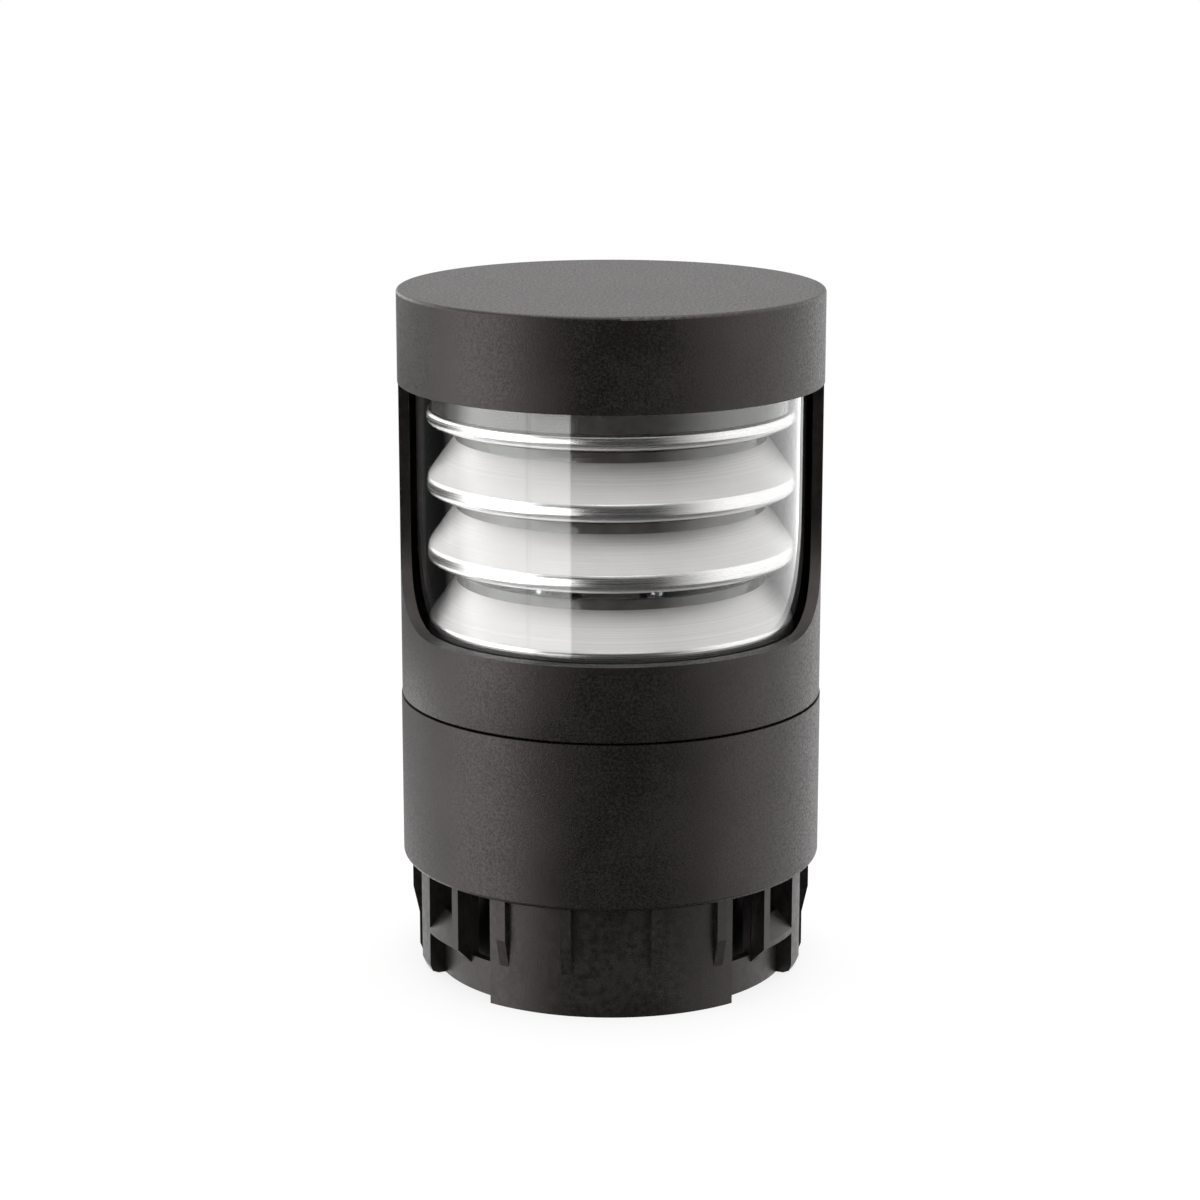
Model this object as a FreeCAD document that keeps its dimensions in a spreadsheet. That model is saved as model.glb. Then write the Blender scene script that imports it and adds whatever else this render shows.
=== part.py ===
import FreeCAD, Part
import Sketcher
import os
import re

# Head of a bollard light with the spigot that drops into its pole.
# Millimetres, +Z up, origin on the axis at the spigot's lower rim, window facing -Y.

doc = FreeCAD.newDocument("bollard_light")
sheet = doc.addObject("Spreadsheet::Sheet", "sizes")
V = FreeCAD.Vector

# Driving sizes: name, value, what it is
SIZES = [
    ("outerRadius", 75, "outside of the cap and the base ring"),
    ("cageInset", 0.3, "how far the cage lies inside the cap's outline"),
    ("spigotLength", 40, "spigot below the base ring"),
    ("ringHeight", 59, "base ring"),
    ("seamGap", 0.6, "open seam between ring and cage"),
    ("bandHeight", 27, "from the seam up to the window sill"),
    ("windowHeight", 85.5, "from the sill up to the cap"),
    ("capHeight", 32.5, "cap, skirt and lid"),
    ("edgeRadius", 1.5, "rounding on the castings' outer rims"),
    ("fitGap", 0.3, "clearance between parts that slide into each other"),
    ("boltGap", 0.1, "clearance round a screw or rod in its hole"),
    ("cutExtra", 0.5, "how far a cut runs past a face"),

    ("capWall", 3.3, "skirt of the cap"),
    ("lidThickness", 4, "lid of the cap"),
    ("lidEdgeRadius", 1.2, "rounding on the lid's edge"),
    ("cageWall", 5.1, "band and back wall of the cage"),
    ("windowHalfAngle", 69, "window's edge, in degrees from its middle"),
    ("windowCorner", 8, "lower corners of the window"),
    ("windowRise", 2.5, "how far the window runs up behind the cap"),
    ("pillarWall", 2.4, "thin edges of the wall beside the window"),
    ("pillarHalfAngle", 100, "where the wall is full again, in degrees from the window's middle"),
    ("pillarBridge", 1.5, "full wall over the thin edges, under the cap's rim"),
    ("hoopRise", 4, "hoop above the upper seal"),
    ("shelfThickness", 4, "shelf in the band that carries the glass"),
    ("shelfWidth", 9.6, "how far the shelf reaches in from the band"),
    ("shelfDrop", 11, "from the sill down to the shelf"),
    ("skirtWall", 3.7, "locating skirt of the cage"),
    ("skirtDepth", 9, "how far the skirt drops below the seam"),

    ("glassGap", 0.5, "between the glass and the cage"),
    ("glassWall", 3.2, "glass tube"),
    ("sealHeight", 3, "seals above and below the glass"),
    ("glassTopDrop", 15, "from the lid's top down to the glass"),

    ("louvreGap", 1.0, "between the louvre lips and the glass"),
    ("louvreStart", 4.5, "lowest lip's top above the sill"),
    ("topLipDrop", 7.95, "highest lip's top below the cap's rim"),
    ("lipHeight", 6, "upright lip of a louvre"),
    ("lipRounding", 1.3, "lip's rounded edges"),
    ("coneHeight", 13, "louvre's sloping face"),
    ("coneReach", 9.9, "how far the cone draws in"),
    ("louvreWall", 1.6, "louvre metal"),
    ("flangeReach", 9.5, "flat flange inside the cone"),
    ("collarInset", 1.4, "collar of the top louvre inside its lip"),
    ("collarRise", 17.5, "collar above the top lip"),
    ("collarStep", 1, "slope from the top lip to its collar"),

    ("rodInset", 4.5, "tie rods and posts outside the hole in the flange"),
    ("rodAngle", 17.5, "first tie rod, in degrees from the front"),
    ("rodRadius", 2, "tie rod"),
    ("spacerRadius", 2.9, "spacer tubes and plain posts"),
    ("rodTail", 5, "rod below the optical floor"),
    ("rodBite", 18, "rod inside the cap's boss"),
    ("holeEnd", 1, "hole beyond the end of its screw or rod"),
    ("bossRadius", 5, "bosses under the lid"),
    ("reflectorThickness", 1.2, "plate over the top louvre"),
    ("opticFloorThickness", 3, "plate under the louvres"),
    ("nutFlats", 7, "tie rod nut, across its flats"),
    ("nutHeight", 3.2, "tie rod nut"),

    ("columnWidth", 30, "light column, across its flats"),
    ("columnChamfer", 4, "corners of the column"),
    ("columnBore", 8, "radius of the bore for the leads"),
    ("columnTopDrop", 34, "from the lid's top down to the column"),
    ("footWidth", 46, "foot of the column"),
    ("footThickness", 4, "foot of the column"),
    ("footScrewSpacing", 36, "screws in the foot"),
    ("footScrewTail", 2, "foot's screws below the optical floor"),
    ("smallScrewRadius", 1.5, "shank of the small screws"),
    ("smallHeadRadius", 2.9, "head of the small screws"),
    ("smallHeadHeight", 2.2, "head of the small screws"),
    ("boardWidth", 20, "light board"),
    ("boardThickness", 1.6, "light board"),
    ("boardMargin", 4, "column left bare above and below a board"),
    ("chipWidth", 5, "light chip"),
    ("chipSpacing", 8, "the two light chips in a row, middle to middle"),
    ("chipHeight", 1.1, "light chip"),

    ("ringWall", 5, "base ring"),
    ("ledgeReach", 6.5, "gasket ledge in the base ring"),
    ("ledgeThickness", 3, "inner edge of the gasket ledge"),
    ("ledgeFlare", 5, "slope under the gasket ledge"),
    ("gasketHeight", 2, "seam gasket"),
    ("gasketInset", 1, "seam gasket inside the ledge's edge"),
    ("grubRadius", 2.5, "grub screws at the back"),
    ("grubLength", 4.4, "grub screws at the back"),
    ("grubAngle", 25, "grub screws, in degrees from the back's middle"),
    ("grubDrop", 4.6, "grub screws below the seam"),

    ("spigotWall", 3, "moulded walls of the spigot"),
    ("spigotFloor", 4, "floor and flange of the spigot"),
    ("poleWall", 3, "wall of the pole, whose outside is flush with the base ring"),
    ("poleGap", 0.1, "between the ribs and the pole"),
    ("ribReach", 2.2, "tapered ribs beyond the front wall and the posts"),
    ("recessDepth", 5.7, "set-back wall behind the front wall's face"),
    ("bulgeHalfAngle", 37.2, "front wall's edge, in degrees from the front"),
    ("ribWidth", 3.7, "tapered ribs"),
    ("ribAngleInner", 12.65, "inner ribs, in degrees from the front"),
    ("ribAngleOuter", 32.2, "outer ribs, in degrees from the front"),
    ("ribTaperTop", 25, "height where a rib starts to taper"),
    ("ribTaperEnd", 15, "height where a rib meets the wall"),
    ("thinPostAngle", 51.9, "thin post, in degrees from the front"),
    ("thinPostWidth", 3.5, "thin post"),
    ("thinPostDrop", 3, "thin post below the ledge"),
    ("widePostStart", 68, "wide post's front edge, in degrees"),
    ("widePostEnd", 77.3, "wide post's rear edge, in degrees"),
    ("postCorner", 3, "rounded foot of the wide post"),
    ("ledgeOverlap", 2, "how far the ledge runs into the wide post, in degrees"),
    ("ledgeLipLow", 15.4, "underside of the lip between the posts"),
    ("ledgeLipHigh", 17.4, "top of the lip between the posts"),
    ("ledgeRootHigh", 24, "ledge's top at the wall"),
    ("ledgeRootLow", 12.8, "ledge's underside at the wall"),
    ("slotStart", 41, "open slot's front edge, in degrees"),
    ("slotEnd", 49.8, "open slot's rear edge, in degrees"),
    ("slotSill", 12.6, "open slot's sill"),
    ("smallSlotStart", 61.5, "slot over the ledge, front edge, in degrees"),
    ("sleeveSpace", 9.5, "from the set-back wall's face in to the sleeve"),
    ("sleeveWall", 2.5, "inner sleeve of the spigot"),
    ("screwInset", 3.7, "spigot screws inside the set-back wall's face"),
    ("screwAngle", 24, "spigot screws, in degrees from front and back"),
    ("screwRadius", 2.5, "spigot screw shank"),
    ("screwHeadRadius", 4.3, "spigot screw head"),
    ("screwHeadHeight", 3, "spigot screw head"),
    ("screwBite", 12, "spigot screw inside the base ring"),
    ("ringBossRadius", 5.2, "bosses in the base ring"),
    ("ringBossHeight", 16, "bosses in the base ring"),
    ("bossWebWidth", 6.2, "webs from the bosses to the base ring"),

    ("driverLength", 84, "driver"),
    ("driverSpace", 4.1, "between the driver and the gland's lock nut"),
    ("driverHeight", 24, "driver"),
    ("driverChamfer", 3, "upper edges of the driver"),
    ("bracketSheet", 1.5, "bracket metal"),
    ("bracketWidth", 24, "bracket"),
    ("bracketFoot", 10, "bracket's feet"),
    ("terminalLength", 48, "terminal block"),
    ("terminalWidth", 18, "terminal block"),
    ("terminalHeight", 17, "terminal block"),
    ("terminalStep", 7, "height of the terminal block's lower step"),
    ("terminalSpace", 7, "between the driver and the terminal block"),
    ("terminalWays", 5, "ways of the terminal block"),
    ("terminalWell", 4, "screw wells of the terminal block"),
    ("terminalScrew", 2.5, "height of a terminal screw"),
    ("earthPlace", 42, "earth screw to the right of the gland"),
    ("earthForward", 8, "earth screw forward of the gland"),
    ("earthHeight", 12, "earth screw above the floor"),
    ("washerRadius", 5.2, "washer of the earth screw"),
    ("washerThickness", 1, "washer of the earth screw"),

    ("glandInset", 16, "cable gland inside the sleeve"),
    ("glandThread", 10, "thread radius of the cable gland"),
    ("glandBore", 6, "cable hole radius of the gland"),
    ("glandWayGap", 1, "gland's way outside the cable hole"),
    ("glandNeckInset", 1.5, "neck inside the gland's thread"),
    ("glandHexFlats", 24, "gland hexagons, across their flats"),
    ("glandHexHeight", 6, "gland's hexagon under the floor"),
    ("glandNeckLength", 9, "threaded neck under the hexagon"),
    ("glandNutLength", 14, "domed nut"),
    ("glandGripLength", 8.4, "hexagon of the domed nut"),
    ("domeInset", 1, "end of the domed nut inside the gland's thread"),
    ("domeEnd", 2, "thickness of the domed nut's end"),
    ("mouthGap", 0.6, "domed nut's mouth outside the cable hole"),
    ("glandThreadRise", 8, "thread above the floor"),
    ("lockNutHeight", 5, "lock nut above the floor"),

    ("plugWidth", 26, "plug and socket, along X"),
    ("plugDepth", 14, "plug and socket, along Y"),
    ("plugHeight", 15, "plug under the optical floor"),
    ("plugChamfer", 1.2, "upright edges of the plug"),
    ("socketWall", 2, "socket round the plug's outline"),
    ("pinRadius", 1.2, "plug pins"),
    ("pinSpacing", 7, "plug pins"),
    ("pinLength", 7, "plug pins below the plug"),
    ("pinWell", 2, "socket's holes below the pins"),
]

# Sizes that the sheet works out from the ones above
WORKED_OUT = [
    ("bulgeRadius", "outerRadius - poleWall - poleGap - ribReach", "front and back walls and posts"),
    ("recessRadius", "bulgeRadius - recessDepth", "set-back wall of the spigot"),
    ("sleeveRadius", "recessRadius - sleeveSpace", "inner sleeve of the spigot, round the gland"),
    ("screwCircle", "recessRadius - screwInset", "circle of the spigot screws"),
    ("glandPlace", "sleeveRadius - sleeveWall - glandInset", "cable gland behind the axis"),
    ("driverWidth", "2 * (glandPlace - glandHexFlats / sqrt(3) - driverSpace)", "driver"),
    ("terminalPlace", "(driverWidth + terminalWidth) / 2 + terminalSpace", "terminal block before the axis"),
    ("glassInside", "outerRadius - cageInset - cageWall - glassGap - glassWall", "inside of the glass"),
    ("flangeInside", "glassInside - louvreGap - coneReach - flangeReach", "hole in a louvre's flange"),
    ("rodCircle", "flangeInside + rodInset", "circle of the tie rods and posts"),
    ("louvrePitch", "(windowHeight - louvreStart - topLipDrop) / 3", "from one louvre to the next"),
]

cells = [(name, str(value), note) for name, value, note in SIZES]
cells += [(name, "=" + text, note) for name, text, note in WORKED_OUT]
for row, (name, content, note) in enumerate(cells, start=1):
    sheet.set("A%d" % row, note)
    sheet.set("B%d" % row, content)
    sheet.setAlias("B%d" % row, name)
doc.recompute()
ALIASES = {name for name, content, note in cells}


def full(text):
    """Expression with every size name pointing at the sheet."""
    def swap(found):
        word = found.group()
        return "sizes." + word if word in ALIASES else word
    return re.sub(r"[A-Za-z]\w*", swap, text)


def number(text):
    return float(sheet.evalExpression(full(text)))


def bind(item, prop, text):
    item.setExpression(prop, full(text))


# Levels and radii that several pieces share
FLANGE_TOP = "(spigotLength + spigotFloor)"
SEAM = "(spigotLength + ringHeight)"
SILL = "(%s + bandHeight)" % SEAM
CAP_RIM = "(%s + windowHeight)" % SILL
LID_TOP = "(%s + capHeight)" % CAP_RIM
CEILING = "(%s - lidThickness)" % LID_TOP
SHELF = "(%s - shelfDrop)" % SILL
SKIRT_FOOT = "(%s - skirtDepth)" % SEAM
SHELF_UNDER = "(%s - shelfThickness)" % SHELF
LEDGE = "(%s - gasketHeight)" % SKIRT_FOOT
OPTIC_FLOOR = "(%s + opticFloorThickness)" % SHELF
GLASS_FOOT = "(%s + sealHeight)" % SHELF
GLASS_TOP = "(%s - glassTopDrop)" % LID_TOP

CAGE_OUT = "(outerRadius - cageInset)"
CAGE_IN = "(%s - cageWall)" % CAGE_OUT
SHELF_IN = "(%s - shelfWidth)" % CAGE_IN
CAP_IN = "(outerRadius - capWall)"
GLASS_OUT = "(%s - glassGap)" % CAGE_IN
GLASS_IN = "glassInside"
RING_IN = "(outerRadius - ringWall)"
SKIRT_OUT = "(%s - fitGap)" % RING_IN
LIP_OUT = "(%s - louvreGap)" % GLASS_IN
CONE_IN = "(%s - coneReach)" % LIP_OUT
FLANGE_IN = "flangeInside"
RIB_OUT = "(bulgeRadius + ribReach)"
ROD_HOLE = "(rodRadius + boltGap)"


def lip_top(level):
    return "(%s + louvreStart + %d * louvrePitch)" % (SILL, level)


def flange_top(level):
    return "(%s + coneHeight)" % lip_top(level)


TOP_LEVEL = 3
REFLECTOR_TOP = "(%s + reflectorThickness)" % flange_top(TOP_LEVEL)


def polar(radius, angle):
    """Place at an angle counted from the front towards +X."""
    return ("%s * sin(%s)" % (radius, angle), "-%s * cos(%s)" % (radius, angle))


# Sketches and features

def make_body(label):
    body = doc.addObject("PartDesign::Body", label)
    body.Label = label
    return body


def origin_item(body, role):
    return [item for item in body.Origin.OriginFeatures if item.Role == role][0]


def make_sketch(body, name, role, height=None, turn=None):
    sketch = body.newObject("Sketcher::SketchObject", name)
    sketch.AttachmentSupport = [(origin_item(body, role), "")]
    sketch.MapMode = "FlatFace"
    if height is not None:
        bind(sketch, "AttachmentOffset.Base.z", height)
    if turn is not None:
        angle = number(turn)
        sketch.AttachmentOffset = FreeCAD.Placement(V(), FreeCAD.Rotation(V(0, 1, 0), angle))
        bind(sketch, "AttachmentOffset.Rotation.Angle", turn)
    return sketch


def pin_point(sketch, item, spot, place):
    """Tie a point of the sketch to its two sizes, or to an axis where a size is zero."""
    for kind, axis, text in (("DistanceX", -2, place[0]), ("DistanceY", -1, place[1])):
        size = number(text)
        if abs(size) < 1e-9:
            sketch.addConstraint(Sketcher.Constraint("PointOnObject", item, spot, axis))
        else:
            index = sketch.addConstraint(Sketcher.Constraint(kind, -1, 1, item, spot, size))
            bind(sketch, "Constraints[%d]" % index, text)


def outline(sketch, corners):
    """Closed outline of straight runs through corners given as pairs of expressions."""
    start = sketch.GeometryCount
    count = len(corners)
    points = [V(number(across), number(up), 0) for across, up in corners]
    for index in range(count):
        run = Part.LineSegment(points[index], points[(index + 1) % count])
        sketch.addGeometry(run, False)
    for index in range(count):
        following = start + (index + 1) % count
        sketch.addConstraint(Sketcher.Constraint("Coincident", start + index, 2, following, 1))
    for index, corner in enumerate(corners):
        pin_point(sketch, start + index, 1, corner)


def circles(sketch, spots, radius):
    for spot in spots:
        centre = V(number(spot[0]), number(spot[1]), 0)
        item = sketch.addGeometry(Part.Circle(centre, V(0, 0, 1), number(radius)), False)
        pin_point(sketch, item, 3, spot)
        index = sketch.addConstraint(Sketcher.Constraint("Radius", item, number(radius)))
        bind(sketch, "Constraints[%d]" % index, radius)


def turn_profile(body, name, corners, span=None, middle=None, cut=False):
    """Turn an outline, given as radius and height, about the axis, all round or over a span."""
    at = None if middle is None else "%s - 90" % middle
    sketch = make_sketch(body, name + "Sketch", "XZ_Plane", turn=at)
    outline(sketch, corners)
    item = body.newObject("PartDesign::Groove" if cut else "PartDesign::Revolution", name)
    item.Profile = sketch
    item.ReferenceAxis = (sketch, ["V_Axis"])
    if span is None:
        item.Angle = 360
    else:
        item.Midplane = True
        bind(item, "Angle", span)
    return item


def fin(body, name, middle, width, corners):
    """Flat fin that stands out from the axis at an angle from the front."""
    sketch = make_sketch(body, name + "Sketch", "XZ_Plane", turn="%s - 90" % middle)
    outline(sketch, corners)
    item = body.newObject("PartDesign::Pad", name)
    item.Profile = sketch
    item.SideType = "Symmetric"
    bind(item, "Length", width)
    return item


def raise_circles(body, name, foot, height, spots, radius):
    sketch = make_sketch(body, name + "Sketch", "XY_Plane", height=foot)
    circles(sketch, spots, radius)
    item = body.newObject("PartDesign::Pad", name)
    item.Profile = sketch
    bind(item, "Length", height)
    return item


def drill(body, name, top, depth, spots, radius):
    """Round holes from a level downwards."""
    before = solid_volume(body)
    sketch = make_sketch(body, name + "Sketch", "XY_Plane", height=top)
    circles(sketch, spots, radius)
    item = body.newObject("PartDesign::Pocket", name)
    item.Profile = sketch
    bind(item, "Length", depth)
    if solid_volume(body) >= before:
        raise ValueError(name + " cuts nothing")
    return item


def solid_volume(body):
    doc.recompute()
    return body.Shape.Volume


def mirror(body, name, originals, roles):
    """Repeat features across one plane, or across two planes in turn."""
    if len(roles) == 1:
        item = body.newObject("PartDesign::Mirrored", name)
        item.Originals = originals
        item.MirrorPlane = (origin_item(body, roles[0]), [""])
        body.Tip = item
        return item
    item = body.newObject("PartDesign::MultiTransform", name)
    item.Originals = originals
    steps = []
    for role in roles:
        step = body.newObject("PartDesign::Mirrored", name + role[:2])
        step.MirrorPlane = (origin_item(body, role), [""])
        steps.append(step)
    item.Transformations = steps
    body.Tip = item
    return item


def round_edges(body, name, radius, test):
    doc.recompute()
    base = body.Tip
    picked = ["Edge%d" % (index + 1) for index, edge in enumerate(base.Shape.Edges) if test(edge)]
    if not picked:
        raise ValueError(name + " finds no edge")
    item = body.newObject("PartDesign::Fillet", name)
    item.Base = (base, picked)
    bind(item, "Radius", radius)
    return item


def circle_test(radius, height):
    """True for round edges about the axis with this radius at this height."""
    def test(edge):
        curve = edge.Curve
        if not isinstance(curve, Part.Circle):
            return False
        return abs(curve.Radius - number(radius)) < 0.01 and abs(curve.Center.z - number(height)) < 0.01
    return test


def solid(kind, name, sizes, place=("0", "0", "0")):
    """Part primitive with its sizes and place bound to the sheet."""
    item = doc.addObject("Part::" + kind, name)
    for prop, text in sizes.items():
        bind(item, prop, text)
    for axis, text in zip("xyz", place):
        bind(item, "Placement.Base." + axis, text)
    return item


def block(name, length, width, height, middle):
    """Box about a middle point in plan, standing on a height."""
    across = "%s - (%s) / 2" % (middle[0], length)
    along = "%s - (%s) / 2" % (middle[1], width)
    return solid("Box", name, {"Length": length, "Width": width, "Height": height},
                 (across, along, middle[2]))


def cut(name, base, tool):
    item = doc.addObject("Part::Cut", name)
    item.Base = base
    item.Tool = tool
    return item


def fuse(name, pieces):
    item = doc.addObject("Part::MultiFuse", name)
    item.Shapes = pieces
    return item


def copies(label, source, placements):
    """One node of separate alike solids, each a placed copy of the source."""
    doc.recompute()
    shapes = []
    for placement in placements:
        shape = source.Shape.copy()
        shape.Placement = placement.multiply(shape.Placement)
        shapes.append(shape)
    item = doc.addObject("Part::Feature", label)
    item.Shape = Part.makeCompound(shapes)
    item.Label = label
    return item


def turned_copies(label, source, angles):
    """Copies of a piece that stands at the front, turned about the axis."""
    turns = [FreeCAD.Placement(V(), FreeCAD.Rotation(V(0, 0, 1), angle)) for angle in angles]
    return copies(label, source, turns)


def moved_copies(label, source, spots):
    return copies(label, source, [FreeCAD.Placement(V(*spot), FreeCAD.Rotation()) for spot in spots])


NODES = []


def node(item, label=None):
    if label:
        item.Label = label
    NODES.append(item)
    return item


ROD_ANGLES = ["(rodAngle + %d)" % (90 * index) for index in range(4)]
ROD_SPOTS = [polar("rodCircle", angle) for angle in ROD_ANGLES]
SCREW_ANGLES = ["screwAngle", "(-screwAngle)", "(180 - screwAngle)", "(180 + screwAngle)"]
SCREW_SPOTS = [polar("screwCircle", angle) for angle in SCREW_ANGLES]


BRACKET_SCREW = "(driverLength / 2 + fitGap + bracketSheet + bracketFoot / 2)"
ROUNDED_FOOT = ("bulgeRadius - postCorner * (1 - sin(45))", "postCorner * (1 - sin(45))")


# Spigot: a moulding of thin walls, posts, ledges and tapered ribs under a flanged floor

def make_spigot():
    body = make_body("spigot")
    top = "spigotLength"
    inner = "recessRadius - spigotWall"
    root = "recessRadius - spigotWall / 2"
    in_floor = "spigotLength + spigotFloor / 2"
    bulge_in = "bulgeRadius - spigotWall"
    bulge_root = "bulgeRadius - spigotWall / 2"
    turn_profile(body, "SetBackWall", [
        ("0", top), (inner, top), (inner, "0"), ("recessRadius", "0"), ("recessRadius", top),
        (RIB_OUT, top), (RIB_OUT, FLANGE_TOP), ("0", FLANGE_TOP)])

    turn_profile(body, "InnerSleeve", [
        ("sleeveRadius - sleeveWall", "0"), ("sleeveRadius", "0"), ("sleeveRadius", in_floor),
        ("sleeveRadius - sleeveWall", in_floor)])

    # front and back walls stand out, hollow behind
    front = turn_profile(body, "FrontWall", [
        (root, "0"), ("bulgeRadius", "0"), ("bulgeRadius", top), (root, top)],
        span="2 * bulgeHalfAngle", middle="0")
    mirror(body, "BackWall", [front], ["XZ_Plane"])
    hollow_half = "bulgeHalfAngle - spigotWall / bulgeRadius * 180 / pi"
    hollow = turn_profile(body, "FrontHollow", [
        ("recessRadius - 2 * spigotWall", "0"), (bulge_in, "0"), (bulge_in, top),
        ("recessRadius - 2 * spigotWall", top)],
        span="2 * (%s)" % hollow_half, middle="0", cut=True)
    mirror(body, "BackHollow", [hollow], ["XZ_Plane"])

    # one quarter: posts, ledge and ribs, then its three mirror images
    wide = turn_profile(body, "WidePost", [
        (root, "0"), ("bulgeRadius - postCorner", "0"), ROUNDED_FOOT,
        ("bulgeRadius", "postCorner"), ("bulgeRadius", top), (root, top)],
        span="widePostEnd - widePostStart", middle="(widePostStart + widePostEnd) / 2")
    post_foot = "ledgeRootLow - thinPostDrop"
    thin = fin(body, "ThinPost", "thinPostAngle", "thinPostWidth", [
        (root, post_foot), ("recessRadius", post_foot), ("bulgeRadius", "ledgeLipLow"),
        ("bulgeRadius", top), (root, top)])
    ledge = turn_profile(body, "Ledge", [
        (root, "ledgeRootLow"), ("bulgeRadius", "ledgeLipLow"), ("bulgeRadius", "ledgeLipHigh"),
        ("recessRadius", "ledgeRootHigh"), (root, "ledgeRootHigh")],
        span="widePostStart - thinPostAngle + ledgeOverlap",
        middle="(widePostStart + thinPostAngle + ledgeOverlap) / 2")
    rib_shape = [(bulge_root, "ribTaperEnd - ribWidth / 2"), ("bulgeRadius", "ribTaperEnd"),
                 (RIB_OUT, "ribTaperTop"), (RIB_OUT, top), (bulge_root, top)]
    inner_rib = fin(body, "InnerRib", "ribAngleInner", "ribWidth", rib_shape)
    outer_rib = fin(body, "OuterRib", "ribAngleOuter", "ribWidth", rib_shape)
    mirror(body, "Quarters", [wide, thin, ledge, inner_rib, outer_rib], ["YZ_Plane", "XZ_Plane"])
    side_rib = fin(body, "SideRib", "90", "ribWidth", [
        (root, "0"), ("bulgeRadius - postCorner", "0"), ROUNDED_FOOT,
        ("bulgeRadius", "postCorner"), ("bulgeRadius", "ribTaperEnd"), (RIB_OUT, "ribTaperTop"),
        (RIB_OUT, top), (root, top)])
    mirror(body, "OtherSideRib", [side_rib], ["YZ_Plane"])

    # slots through the set-back wall
    slot = turn_profile(body, "Slot", [
        ("recessRadius - 2 * spigotWall", "slotSill"), ("recessRadius + cutExtra", "slotSill"),
        ("recessRadius + cutExtra", top), ("recessRadius - 2 * spigotWall", top)],
        span="slotEnd - slotStart", middle="(slotStart + slotEnd) / 2", cut=True)
    small = turn_profile(body, "SmallSlot", [
        ("recessRadius - 2 * spigotWall", "ledgeRootHigh"), ("recessRadius + cutExtra", "ledgeRootHigh"),
        ("recessRadius + cutExtra", top), ("recessRadius - 2 * spigotWall", top)],
        span="widePostStart - smallSlotStart", middle="(smallSlotStart + widePostStart) / 2", cut=True)
    mirror(body, "SlotQuarters", [slot, small], ["YZ_Plane", "XZ_Plane"])

    drill(body, "GlandHole", FLANGE_TOP, "spigotFloor", [("0", "glandPlace")], "glandThread + boltGap")
    drill(body, "ScrewHoles", FLANGE_TOP, "spigotFloor", SCREW_SPOTS, "screwRadius + boltGap")
    spots = [(BRACKET_SCREW, "0"), ("-" + BRACKET_SCREW, "0")]
    drill(body, "BracketHoles", FLANGE_TOP, "spigotFloor * 3 / 4", spots, "smallScrewRadius + boltGap")
    return node(body)


# Base ring: plain drum with the gasket ledge inside and four bosses for the spigot screws

def make_base_ring():
    body = make_body("base_ring")
    spot_face = "%s + fitGap" % RIB_OUT
    turn_profile(body, "Drum", [
        (spot_face, "spigotLength"), ("outerRadius", "spigotLength"), ("outerRadius", SEAM), (RING_IN, SEAM),
        (RING_IN, LEDGE), ("%s - ledgeReach" % RING_IN, LEDGE),
        ("%s - ledgeReach" % RING_IN, "%s - ledgeThickness" % LEDGE),
        (RING_IN, "%s - ledgeThickness - ledgeFlare" % LEDGE),
        (RING_IN, FLANGE_TOP), (spot_face, FLANGE_TOP)])
    round_edges(body, "LowerRim", "edgeRadius", circle_test("outerRadius", "spigotLength"))
    web_out = "%s + ringWall / 2" % RING_IN
    boss_top = "%s + ringBossHeight" % FLANGE_TOP
    for index, angle in enumerate(SCREW_ANGLES):
        fin(body, "BossWeb%d" % (index + 1), angle, "bossWebWidth", [
            ("screwCircle", FLANGE_TOP), (web_out, FLANGE_TOP),
            (web_out, boss_top), ("screwCircle", boss_top)])
    raise_circles(body, "Bosses", FLANGE_TOP, "ringBossHeight", SCREW_SPOTS, "ringBossRadius")
    drill(body, "BossHoles", "%s + screwBite + holeEnd" % FLANGE_TOP, "screwBite + holeEnd",
          SCREW_SPOTS, "screwRadius + boltGap")
    before = solid_volume(body)
    for index, angle in enumerate(GRUB_ANGLES):
        sketch = make_sketch(body, "GrubHoleSketch%d" % (index + 1), "XZ_Plane", turn="%s" % angle)
        circles(sketch, [("0", GRUB_LEVEL)], "grubRadius + boltGap")
        hole = body.newObject("PartDesign::Pocket", "GrubHole%d" % (index + 1))
        hole.Profile = sketch
        bind(hole, "Length", "outerRadius + cutExtra")
    if solid_volume(body) >= before:
        raise ValueError("the grub holes cut nothing")
    return node(body)


GRUB_LEVEL = "(%s - grubDrop)" % SEAM
GRUB_ANGLES = ["grubAngle", "(-grubAngle)"]


# Cage: band, back wall and the hoop inside the cap, with a shelf and a locating skirt below

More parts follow.
